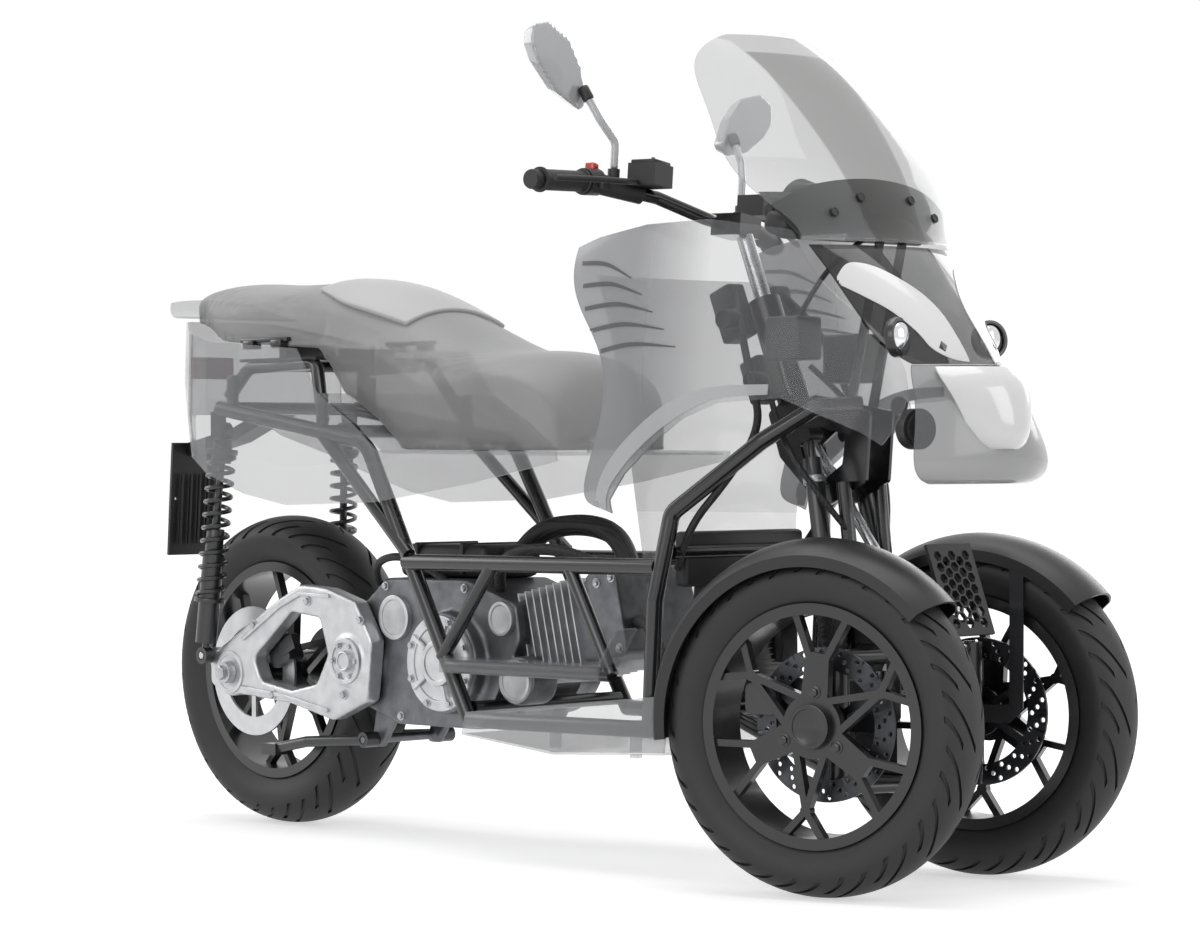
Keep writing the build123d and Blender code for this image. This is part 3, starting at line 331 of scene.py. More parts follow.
def plated_reflector():
    """Vapour-plated reflector or mirror glass: bright mirror metal with a faint ripple."""
    mat, where = start("vapour plated reflector")
    ripple = add(mat, "TexNoise", {"Vector": where, "Scale": 120.0, "Detail": 3.0})
    return done(mat, add(mat, "BsdfPrincipled", {
        "Base Color": add(mat, "Mix", {"Factor": ripple, "A": linear("#c9cacc"),
                                       "B": linear("#e6e6e8")}, 2, data_type="RGBA"),
        "Metallic": 1.0, "Roughness": 0.07,
        "Normal": add(mat, "Bump", {"Height": ripple, "Strength": 0.05, "Distance": 0.001}),
    }))


def coloured_lens():
    """Dyed acrylic lens: saturated red and glossy over a prism pattern of about 4 mm."""
    mat, where = start("dyed acrylic lens")
    prism = add(mat, "TexVoronoi", {"Vector": where, "Scale": 260.0}, "Distance")
    return done(mat, add(mat, "BsdfPrincipled", {
        "Base Color": add(mat, "Mix", {"Factor": prism, "A": linear("#a3141a"),
                                       "B": linear("#c8242a")}, 2, data_type="RGBA"),
        "Roughness": 0.12, "Coat Weight": 1.0, "Coat Roughness": 0.03,
        "Normal": add(mat, "Bump", {"Height": prism, "Strength": 0.3, "Distance": 0.001}),
    }))


FINISH = {}


def mix_finishes():
    """Make every finish once, by the name that the pieces ask for."""
    FINISH.update({
        # vulcanised rubber: near black and dull, a little paler where it is dusty
        "tyre": grained("moulded tyre rubber", "#1b1b1c", "#2a2a2b", 18.0, 700.0, (0.48, 0.68),
                        0.2),
        # powder coated wheel: black with satin highlights on every spoke edge
        "wheel": powder_coat("black powder coated wheel", "#0f0f11", "#1a1a1d", 0.24),
        # enamelled tube: glossier, so that each tube carries a long thin highlight
        "frame": powder_coat("gloss black frame enamel", "#141416", "#222225", 0.16),
        # coated linkage: a shade greyer and flatter than the frame behind it
        "suspension": powder_coat("graphite powder coated steel", "#1d1d20", "#2b2c2f", 0.30),
        # sand cast aluminium: pale and bright under a coarse skin
        "cast": bare_metal("sand cast aluminium", "#a9aaad", "#dcdddf", 0.30, 600.0),
        # die cast aluminium: dull mid grey, blotched as it comes from the die
        "engine": bare_metal("dull die cast aluminium", "#4c4d50", "#8c8d91", 0.36, 500.0),
        # heat-darkened disc steel: dark, with a soft metal sheen
        "dark_disc": bare_metal("blued brake disc steel", "#2c2d30", "#55565a", 0.24, 900.0),
        # turned and plated steel: clean bright metal with blurred reflections
        "steel": bare_metal("turned and plated steel", "#9b9ca0", "#c6c7ca", 0.20, 240.0),
        # ground stainless steel: the palest metal, finely grained
        "disc": bare_metal("ground stainless steel", "#b3b4b7", "#dadbdd", 0.24, 900.0),
        # grained polypropylene: black with almost no gloss
        "plastic": grained_plastic("grained black polypropylene", "#121213", "#1e1e20", 0.42),
        # smoother mudguard plastic: black with a satin streak along its crown
        "fender": grained_plastic("satin black mudguard plastic", "#101011", "#19191b", 0.28),
        # smoked shell: nearly black, and only just see-through
        "dash": clear_shell("smoked dash plastic", "#1a1a1c", "#262628", 0.80, 0.2),
        "flank": fading_shell(),
        # painted shade: dark grey strips laid on the pale flank, standing in for the shadow inside
        # the louvre slots
        "slot_shade": clear_shell("grey painted slot shade", "#5c5d60", "#6c6d70", 0.75),
        # turned-out shell edge: a light band that outlines the wheel arch
        "trim": clear_shell("pale shell edge", "#cfd0d2", "#dedfe1", 0.62),
        # middle-thick grey shell: what lies under it is still seen
        "tail": clear_shell("grey clear tail panel", "#8f9093", "#a5a6a9", 0.34),
        # light stretched vinyl: paler and denser than the seat under it
        "pad": stretched_vinyl("pale stretched vinyl", "#c2c2c3", "#d6d6d7", 0.36, 0.85),
        # thinnest shell: a pale veil over the rear frame
        "side": clear_shell("pale clear tail shell", "#9a9b9e", "#b0b1b4", 0.20),
        # thin grey shell between the knees and the front: the column shows through
        "shield": clear_shell("grey clear leg shield", "#808184", "#939497", 0.22),
        # thin pale tray under the engine
        "tray": clear_shell("pale clear belly tray", "#a8a9ab", "#bcbdbf", 0.28),
        # half-clear silver shell below the nose
        "beak": clear_shell("silver clear beak", "#6f7073", "#88898c", 0.50, 0.16),
        # smoked cover: the lamp's housing reads as black glass
        "lamp": clear_shell("smoked lamp cover", "#0c0d0e", "#151618", 0.78, 0.04),
        # grey window between the lamps: darker than the shells, clear enough to see through
        "window": clear_shell("grey lamp window", "#38393b", "#47484a", 0.46, 0.04),
        # lacquered nose and lamp brows: clean white with a sharp highlight
        "white": painted_plastic("white lacquered abs", "#f6f6f6", 0.16),
        # lacquered mirror heads: light grey, as glossy as the nose
        "silver": painted_plastic("grey lacquered abs", "#c0c1c4", 0.18),
        # switch plastic: the one spot of red at the grip
        "red": painted_plastic("red switch plastic", "#d9301f", 0.25),
        "screen": tinted_screen(),
        # seat vinyl: half-clear mid grey, so that the frame shows faintly under it
        "seat": stretched_vinyl("stretched seat vinyl", "#868687", "#9b9b9c", 0.34, 0.66),
        "rubber": ribbed_rubber(),
        "mirror": plated_reflector(),
        "lens": coloured_lens(),
    })


NODE_FINISH = {
    "wheel": ("front_rim_right", "front_rim_left", "rear_rim"),
    "frame": ("frame_side_right", "frame_side_left", "frame_cross", "seat_hoop", "steering_head",
              "tilt_frame", "handlebar"),
    "suspension": ("suspension_arms", "tilt_cylinders", "knuckle_right", "knuckle_left",
                   "rear_shocks", "front_caliper_right", "front_caliper_left", "rear_caliper",
                   "bell_crank", "centre_stand"),
    "steel": ("steering_column", "steering_shaft", "tie_rod_right", "tie_rod_left", "rear_axle"),
    "disc": ("front_disc_right", "front_disc_left", "rear_disc"),
    "cast": ("swing_arm",),
    "engine": ("engine_block", "transmission_case"),
    "plastic": ("controls", "honeycomb", "horn", "plate_holder"),
    "fender": ("fender_right", "fender_left"),
    "dash": ("dash_band",),
    "flank": ("flank_right", "flank_left"),
    "tail": ("tail_panel",),
    "side": ("side_panel_right", "side_panel_left", "seat_base"),
    "shield": ("leg_shield", "footboards"),
    "tray": ("belly",),
    "beak": ("beak",),
    "white": ("nose",),
    "lamp": ("lamp_right", "lamp_left"),
    "window": ("lamp_window",),
    "silver": ("mirrors",),
    "screen": ("windscreen",),
    "seat": ("seat",),
    "rubber": ("grips",),
    "tyre": ("front_tyre_right", "front_tyre_left", "rear_tyre"),
    "lens": ("tail_lamp",),
}


# ---------------------------------------------------------------- modelling tools
def fresh():
    """Leave nothing selected before a new primitive comes."""
    bpy.ops.object.select_all(action="DESELECT")


def choose(piece):
    """Leave one object selected and active."""
    fresh()
    piece.select_set(True)
    bpy.context.view_layer.objects.active = piece


def twin(source):
    """Second object like another, with its own mesh."""
    made = source.copy()
    made.data = source.data.copy()
    bpy.context.collection.objects.link(made)
    return made


def facing(axis):
    """Euler turn that brings a primitive's own Z along an axis."""
    return Vector(axis).to_track_quat("Z", "Y").to_euler()


def sided(point, side):
    """A point given for the left side, on the side that is asked for."""
    return Vector((point[0], side * point[1], point[2]))


def settle():
    """Put the active piece's place, turn and scale in its mesh."""
    bpy.ops.object.transform_apply(location=True, rotation=True, scale=True)


def use(kind, **settings):
    """Add a modifier to the active object, set it and apply it."""
    made = bpy.context.object.modifiers.new(kind.title(), kind)
    for name, value in settings.items():
        setattr(made, name, value)
    bpy.ops.object.modifier_apply(modifier=made.name)


def join(parts):
    """Make one object of several."""
    fresh()
    for part in parts:
        part.select_set(True)
    bpy.context.view_layer.objects.active = parts[0]
    if len(parts) > 1:
        bpy.ops.object.join()
    return bpy.context.object


def weld():
    """Merge the active piece's doubles and leave it selected in edit mode."""
    bpy.ops.object.mode_set(mode="EDIT")
    bpy.ops.mesh.select_all(action="SELECT")
    bpy.ops.mesh.remove_doubles(threshold=WELD)


def keep(name, body, finish, parts, smooth=35, shift=True, stands_for=None):
    """Join parts into a finished piece on its body, in place of a CAD node where one is named."""
    piece = join(parts)
    settle()
    if shift:
        piece.location = SHIFT
        settle()
    weld()
    bpy.ops.mesh.normals_make_consistent(inside=False)
    bpy.ops.object.mode_set(mode="OBJECT")
    bpy.ops.object.shade_smooth_by_angle(angle=math.radians(smooth))
    piece.name = name
    piece.data.name = name
    piece.data.materials.clear()
    piece.data.materials.append(FINISH[finish])
    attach(piece, body)
    if stands_for:
        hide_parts(stands_for)
    return piece


def drum(centre, axis, radius, length, bevel=0.001, sides=32, sink=0.0):
    """Round boss about a centre, with softened rims and, where wanted, a sunk face."""
    fresh()
    bpy.ops.mesh.primitive_cylinder_add(vertices=sides, radius=radius, depth=length,
                                        location=centre, rotation=facing(axis))
    made = bpy.context.object
    if sink:
        for face in made.data.polygons:
            face.select = face.normal.z > 0.9
        bpy.ops.object.mode_set(mode="EDIT")
        bpy.ops.mesh.select_mode(type="FACE")
        bpy.ops.mesh.inset(thickness=radius * 0.22)
        bpy.ops.mesh.extrude_region_shrink_fatten(TRANSFORM_OT_shrink_fatten={"value": -sink})
        bpy.ops.object.mode_set(mode="OBJECT")
    use("BEVEL", width=bevel, segments=2, limit_method="ANGLE", angle_limit=SHARP)
    return made


def bolt(centre, axis, radius, height):
    """Hexagon head on a washer, standing on a surface."""
    out = Vector(axis).normalized()
    head = drum(Vector(centre) + out * height * 0.55, axis, radius, height * 0.9, radius * 0.12, 6)
    washer = drum(Vector(centre) + out * height * 0.1, axis, radius * 1.4, height * 0.3,
                  radius * 0.05, 20)
    return [head, washer]


def bolts_at(places, y, axis, radius, height):
    """Bolts at x, z places of a side face."""
    return [part for x, z in places for part in bolt((x, y, z), axis, radius, height)]


def around(centre, reach, turn):
    """Point on a circle in the machine's side view, as far round as the turn says."""
    return Vector(centre) + Vector((math.cos(turn), 0, math.sin(turn))) * reach


def bolt_circle(centre, axis, reach, count, radius, height, share=0.0):
    """Bolts spread evenly round a side face's boss, the first a share of a step along."""
    bolts = []
    for index in range(count):
        spot = around(centre, reach, math.tau * (index + share) / count)
        bolts += bolt(spot, axis, radius, height)
    return bolts


def box(low, high, bevel=0.002, turn=None):
    """Box between two corners with rounded edges, turned about its middle if asked."""
    fresh()
    low, high = Vector(low), Vector(high)
    bpy.ops.mesh.primitive_cube_add(size=1, location=(low + high) / 2)
    made = bpy.context.object
    made.scale = high - low
    bpy.ops.object.transform_apply(location=False, rotation=False, scale=True)
    use("BEVEL", width=bevel, segments=3)
    if turn:
        made.rotation_euler = turn
    return made


def bar(middle, half, bevel, turn=None):
    """Box about its middle, from its half sizes."""
    return box(middle - half, middle + half, bevel, turn)


def radial_ribs(centre, reach, count, half, bevel):
    """Ribs that run outwards from a side face's boss."""
    ribs = []
    for index in range(count):
        turn = math.tau * index / count
        ribs.append(bar(around(centre, reach, turn), half, bevel, (0, -turn, 0)))
    return ribs


def coil(foot, head, radius, wire, turns):
    """Coil spring wound by a screw along its axis."""
    foot, head = Vector(foot), Vector(head)
    steps = int(20 * turns)
    fresh()
    bpy.ops.mesh.primitive_circle_add(vertices=8, radius=wire, location=(radius, 0, 0),
                                      rotation=(math.radians(90), 0, 0))
    settle()
    use("SCREW", angle=math.tau * turns, screw_offset=(head - foot).length, steps=steps,
        render_steps=steps)
    made = bpy.context.object
    made.rotation_euler = facing(head - foot)
    made.location = foot
    settle()
    return made


def bellows(foot, head, low, high, ribs):
    """Closed rubber boot whose rings swell and pinch along its length."""
    foot, head = Vector(foot), Vector(head)
    length = (head - foot).length
    rings = 2 * ribs + 2
    fresh()
    bpy.ops.mesh.primitive_uv_sphere_add(segments=28, ring_count=rings, radius=1)
    made = bpy.context.object
    for vertex in made.data.vertices:
        step = round(math.acos(max(-1, min(1, vertex.co.z))) / math.pi * rings)
        flat = math.hypot(vertex.co.x, vertex.co.y)
        reach = 0 if step in (0, rings) else (high if step % 2 else low)
        if flat > 1e-6:
            vertex.co.x *= reach / flat
            vertex.co.y *= reach / flat
        share = min(max(step - 1, 0), rings - 2) / (rings - 2)
        vertex.co.z = (1 - share) * length
    made.rotation_euler = facing(head - foot)
    made.location = foot
    settle()
    return made


def hose(points, radius):
    """Flexible pipe between two unions, following a smooth curve through the points' hull."""
    line = bpy.data.curves.new("hose", "CURVE")
    line.dimensions = "3D"
    line.bevel_depth = radius
    line.bevel_resolution = 4
    line.use_fill_caps = True
    run = line.splines.new("NURBS")
    run.points.add(len(points) - 1)
    for place, point in zip(run.points, points):
        place.co = (*point, 1)
    run.order_u = 3
    run.use_endpoint_u = True
    made = bpy.data.objects.new("hose", line)
    bpy.context.collection.objects.link(made)
    choose(made)
    bpy.ops.object.convert(target="MESH")
    return bpy.context.object


def surface_tree(*names):
    """Search tree of some CAD nodes' own faces."""
    places = []
    faces = []
    for name in names:
        mesh = NODES[name].data
        faces += [[i + len(places) for i in face.vertices] for face in mesh.polygons]
        places += [vertex.co for vertex in mesh.vertices]
    return BVHTree.FromPolygons(places, faces)


def onto(tree, point, direction, lift):
    """Where a ray meets a node's surface, lifted back along the ray."""
    ray = Vector(direction).normalized()
    spot = tree.ray_cast(Vector(point) + SHIFT - ray, ray)[0]
    if spot is None:
        return None
    return spot - ray * lift


def ribbon(tree, upper, lower, direction, lift, wall, columns=28, rows=5):
    """Thin sheet between two outlines, laid on a node's surface, cut off where it misses, and
    given a wall."""
    fresh()
    bpy.ops.mesh.primitive_grid_add(x_subdivisions=columns, y_subdivisions=rows, size=1)
    made = bpy.context.object
    lost = []
    for vertex in made.data.vertices:
        u, v = vertex.co.x + 0.5, vertex.co.y + 0.5
        point = along(lower, u).lerp(along(upper, u), v)
        spot = onto(tree, point, direction, lift)
        if spot is None:
            lost.append(vertex.index)
        else:
            vertex.co = spot
    if lost:
        bpy.ops.object.mode_set(mode="EDIT")
        bpy.ops.mesh.select_all(action="DESELECT")
        bpy.ops.object.mode_set(mode="OBJECT")
        for index in lost:
            made.data.vertices[index].select = True
        bpy.ops.object.mode_set(mode="EDIT")
        bpy.ops.mesh.delete(type="VERT")
        bpy.ops.object.mode_set(mode="OBJECT")
    use("SOLIDIFY", thickness=wall, offset=0)
    return made


def along(points, share):
    """Point at a share of the way along a smooth line through points."""
    points = [Vector(p) for p in points]
    place = min(share, 0.99999) * (len(points) - 1)
    index = int(place)
    t = place - index
    before = points[max(index - 1, 0)]
    after = points[min(index + 2, len(points) - 1)]
    a, b = points[index], points[index + 1]
    return 0.5 * (2 * a + (b - before) * t + (2 * before - 5 * a + 4 * b - after) * t ** 2
                  + (3 * a - before - 3 * b + after) * t ** 3)


def steered(point):
    """Where a point of the straight-ahead handlebar stands, turned with the bars."""
    return STEER_TOP + Matrix.Rotation(STEER, 3, STEER_AXIS) @ (Vector(point) - STEER_TOP)


def wheel_frame(side):
    """A front wheel's middle, outward axle direction and forward direction (side -1 is right)."""
    out = Vector((-side * math.sin(STEER), side * math.cos(STEER), 0))
    ahead = Vector((math.cos(STEER), math.sin(STEER), 0))
    kingpin = Vector((AXLE_X, side * KINGPIN_Y, FRONT_HUB_Z))
    return kingpin + out * (WHEEL_Y - KINGPIN_Y), out, ahead


def tyre_section(size, step, half_steps):
    """Radius and half-width place of one of the section's points, from the crown inwards."""
    crown_end, wall_end = 0.6, 0.8
    share = abs(step) / half_steps
    sign = 1 if step >= 0 else -1
    if share <= crown_end:
        turn = share / crown_end * math.pi / 2
        radius = size["belly"] + (size["radius"] - size["belly"]) * math.cos(turn)
        return radius, sign * size["half"] * math.sin(turn)
    side = size["bead"] + RIM_LIP
    if share <= wall_end:
        t = (share - crown_end) / (wall_end - crown_end)
        radius = size["belly"] + (side - size["belly"]) * t
        return radius, sign * (size["half"] + (size["seat"] - size["half"]) * t ** 2)
    t = (share - wall_end) / (1 - wall_end)
    return size["bead"], sign * size["seat"] * (1 - t)


def grooved_tyre(size, groups):
    """Tyre whose swept grooves, long and short by turns, are pressed into its crown."""
    per_groove, minor = 8, 60
    first_row, long_span = (0, 1), (2, 15)
    second_row, short_span = (4, 5), (8, 16)
    half_steps = minor // 2
    fresh()
    bpy.ops.mesh.primitive_torus_add(major_segments=groups * per_groove, minor_segments=minor,
                                     major_radius=1.0, minor_radius=0.25)
    made = bpy.context.object
    steps = {}
    for vertex in made.data.vertices:
        x, y, z = vertex.co
        angle = math.atan2(y, x)
        section = math.atan2(z, math.hypot(x, y) - 1.0)
        step = round(section / math.tau * minor)
        if step == -half_steps:
            step = half_steps
        radius, width = tyre_section(size, step, half_steps)
        swept = angle + GROOVE_SWEEP * (abs(width) / size["half"]) ** 1.3
        vertex.co = (radius * math.cos(swept), width, radius * math.sin(swept))
        steps[vertex.index] = (step, round(angle / math.tau * groups * per_groove))
    bpy.ops.object.mode_set(mode="EDIT")
    bpy.ops.mesh.select_all(action="SELECT")
    bpy.ops.mesh.normals_make_consistent(inside=False)
    bpy.ops.mesh.select_all(action="DESELECT")
    bpy.ops.mesh.select_mode(type="FACE")
    bpy.ops.object.mode_set(mode="OBJECT")
    for face in made.data.polygons:
        marks = [steps[i] for i in face.vertices]
        low = min(abs(step) for step, _ in marks)
        high = max(abs(step) for step, _ in marks)
        column = min(turn % per_groove for _, turn in marks)
        other = max(turn % per_groove for _, turn in marks)
        left_half = marks[0][0] > 0 or marks[1][0] > 0
        long_row, short_row = (first_row, second_row) if left_half else (second_row, first_row)
        if (column, other) == long_row:
            face.select = long_span[0] <= low and high <= long_span[1]
        elif (column, other) == short_row:
            face.select = short_span[0] <= low and high <= short_span[1]
    bpy.ops.object.mode_set(mode="EDIT")
    bpy.ops.mesh.extrude_region_shrink_fatten(
        TRANSFORM_OT_shrink_fatten={"value": -trike().groove_depth})
    bpy.ops.object.mode_set(mode="OBJECT")
    return made


def copy_of(name):
    """Merged copy of a CAD node's mesh, as a piece's start."""
    made = twin(NODES[name])
    made.parent = None
    for key in [key for key in made.keys() if key.startswith("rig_")]:
        del made[key]
    choose(made)
    weld()
    bpy.ops.object.mode_set(mode="OBJECT")
    return made


def softened(node_name, piece_name, body, finish, voxel, rounds):
    """Rounded casting that stands for a node: its edges melted as a mould leaves them."""
    made = copy_of(node_name)
    use("REMESH", mode="VOXEL", voxel_size=voxel)
    use("SMOOTH", factor=0.5, iterations=rounds)
    keep(piece_name, body, finish, [made], 60, False, node_name)


def drilled(name, centre, axis, ahead):
    """Copy of a disc node with rings of holes through its braking band."""
    disc = copy_of(name)
    holes = []
    for ring, reach in enumerate(DISC_RINGS):
        for index in range(DISC_HOLES):
            turn = math.tau * (index + ring / len(DISC_RINGS)) / DISC_HOLES
            spot = centre + SHIFT + (ahead * math.cos(turn) + UP * math.sin(turn)) * reach
            fresh()
            bpy.ops.mesh.primitive_cylinder_add(vertices=12, radius=trike().disc_hole, depth=0.03,
                                                location=spot, rotation=facing(axis))
            holes.append(bpy.context.object)
    tool = join(holes)
    settle()
    choose(disc)
    use("BOOLEAN", operation="DIFFERENCE", object=tool, solver="EXACT")
    bpy.data.objects.remove(tool)
    return disc


# ---------------------------------------------------------------- sizes and colours
LENGTH = dict(unit="LENGTH", subtype="DISTANCE")


class TrikeSizes(bpy.types.PropertyGroup):
    """Sizes and colours that a user would change."""
    groove_count: bpy.props.IntProperty(
        name="Tread grooves", description="Grooves round each side of a tyre", default=18,
        min=8, max=40)
    groove_depth: bpy.props.FloatProperty(
        name="Groove depth", description="Depth of the tread grooves", default=0.004,
        **LENGTH)
    disc_hole: bpy.props.FloatProperty(
        name="Disc hole", description="Radius of the brake discs' holes", default=0.004,
        **LENGTH)
    spring_wire: bpy.props.FloatProperty(
        name="Spring wire", description="Radius of the rear springs' wire", default=0.0042,
        **LENGTH)
    spring_turns: bpy.props.IntProperty(
        name="Spring turns", description="Turns of each rear spring", default=11, min=4, max=20)
    boot_ribs: bpy.props.IntProperty(
        name="Boot ribs", description="Ribs of each tilt cylinder's boot", default=11, min=4,
        max=24)
    floor_size: bpy.props.FloatProperty(
        name="Floor", description="Side of the studio floor", default=60.0,
        **LENGTH)
    floor_colour: bpy.props.FloatVectorProperty(
        name="Floor colour", description="Colour of the studio floor", subtype="COLOR", size=3,
        default=(0.80, 0.80, 0.80), min=0, max=1)
    lamp_level: bpy.props.FloatProperty(
        name="Light level", description="Strength of all studio lamps together", default=0.42,
        min=0, max=4)


def trike():
    """The scene's sizes and colours."""
    return bpy.context.scene.trike_sizes


class TRIKE_OT_finishes(bpy.types.Operator):
    """Make the finishes and give every carried-over CAD node its own"""
    bl_idname = "trike.finishes"
    bl_label = "Finishes"

    def execute(self, context):
        mix_finishes()
        bare = set(NODES)
        for finish, names in NODE_FINISH.items():
            for name in names:
                mesh = NODES[name].data
                mesh.materials.clear()
                mesh.materials.append(FINISH[finish])
                bare.discard(name)
        if bare:
            raise RuntimeError(f"no finish for {sorted(bare)}")
        return {"FINISHED"}


class TRIKE_OT_tyres(bpy.types.Operator):
    """Press swept grooves into the three tyres"""
    bl_idname = "trike.tyres"
    bl_label = "Grooved tyres"

    def execute(self, context):
        count = trike().groove_count
        pattern = grooved_tyre(FRONT_TYRE, count)
        for name, side in SIDES:
            copy = twin(pattern)
            copy.rotation_euler = (0, 0, STEER)
            copy.location = wheel_frame(side)[0]
            keep(f"grooved_tyre_{name}", f"wheel_front_{name}", "tyre", [copy],
                 stands_for=f"front_tyre_{name}")
        bpy.data.objects.remove(pattern)
        rear = grooved_tyre(REAR_TYRE, count)
        rear.location = REAR_HUB
        keep("grooved_tyre_rear", "wheel_rear", "tyre", [rear], stands_for="rear_tyre")
        return {"FINISHED"}


class TRIKE_OT_discs(bpy.types.Operator):
    """Drill the three brake discs"""
    bl_idname = "trike.discs"
    bl_label = "Drilled discs"

    def execute(self, context):
        rear = drilled("rear_disc", REAR_HUB, LEFTWARDS, Vector((1, 0, 0)))
        keep("drilled_disc_rear", "wheel_rear", "disc", [rear], 30, False, "rear_disc")
        for name, side in SIDES:
            middle, out, ahead = wheel_frame(side)
            node_name = f"front_disc_{name}"
            disc = drilled(node_name, middle, out, ahead)
            keep(f"drilled_disc_{name}", f"wheel_front_{name}", "dark_disc", [disc], 30,
                 False, node_name)
        return {"FINISHED"}


class TRIKE_OT_hubs(bpy.types.Operator):
    """Hub caps, wheel bolts and axle nuts"""
    bl_idname = "trike.hubs"
    bl_label = "Hub caps and wheel bolts"

    def execute(self, context):
        face = FRONT_TYRE["seat"]
        bolt_reach = 0.053
        for name, side in SIDES:
            middle, out, ahead = wheel_frame(side)
            cap = drum(middle + out * (face + 0.0105), out, 0.035, 0.006, 0.0015, 48, 0.0022)
            keep(f"hub_cap_{name}", f"wheel_front_{name}", "wheel", [cap])
            bolts = []
            for index in range(3):
                turn = math.radians(90 + SPOKE_TURN + 120 * index)
                along_spoke = ahead * math.cos(turn) + UP * math.sin(turn)
                bolts += bolt(middle + out * face + along_spoke * bolt_reach, out, 0.0075, 0.006)
            keep(f"wheel_bolts_{name}", f"wheel_front_{name}", "suspension", bolts)
        nut = bolt(REAR_HUB + Vector((0, -0.168, 0)), RIGHTWARDS, 0.014, 0.012)
        keep("rear_axle_nut", "chassis", "steel", nut)
        ring = drum(REAR_HUB + Vector((0, -0.1545, 0)), RIGHTWARDS, 0.040, 0.006, 0.001, 40, 0.002)
        keep("swing_arm_axle_ring", "chassis", "cast", [ring])
        return {"FINISHED"}


class TRIKE_OT_springs(bpy.types.Operator):
    """Coil springs over the rear shock absorbers"""
    bl_idname = "trike.springs"
    bl_label = "Rear springs"

    def execute(self, context):
        foot, head, cup = 0.108, 0.044, 0.029
        for name, side in SIDES:
            top, low = sided(SHOCK_TOP, side), sided(SHOCK_LOW, side)
            axis = (top - low).normalized()
            wound = coil(low + axis * foot, top - axis * head, 0.0235, trike().spring_wire,
                         trike().spring_turns)
            cups = [drum(low + axis * (foot - 0.004), axis, cup, 0.008, 0.0012, 36),
                    drum(top - axis * (head - 0.005), axis, cup, 0.010, 0.0012, 36),
                    drum(low + axis * 0.212, axis, 0.0165, 0.05, 0.0012, 32)]
            keep(f"rear_spring_{name}", "chassis", "suspension", [wound] + cups)
        return {"FINISHED"}


class TRIKE_OT_boots(bpy.types.Operator):
    """Ribbed boots and clamps on the tilt cylinders"""
    bl_idname = "trike.boots"
    bl_label = "Tilt cylinder boots"

    def execute(self, context):
        pinch, swell = 0.0205, 0.0236
        for name, side in SIDES:
            top, low = sided(TILT_TOP, side), sided(TILT_LOW, side)
            axis = (top - low).normalized()
            length = (top - low).length
            foot = low + axis * 0.195
            head = low + axis * (0.66 * length - 0.004)
            boot = bellows(foot, head, pinch, swell, trike().boot_ribs)
            keep(f"tilt_boot_{name}", "chassis", "rubber", [boot], 50)
            clamps = [drum(foot, axis, swell, 0.008, 0.001, 36),
                      drum(head, axis, swell, 0.008, 0.001, 36),
                      drum(low + axis * (length - 0.075), axis, 0.019, 0.012, 0.001, 36)]
            keep(f"tilt_clamps_{name}", "chassis", "steel", clamps)
        return {"FINISHED"}


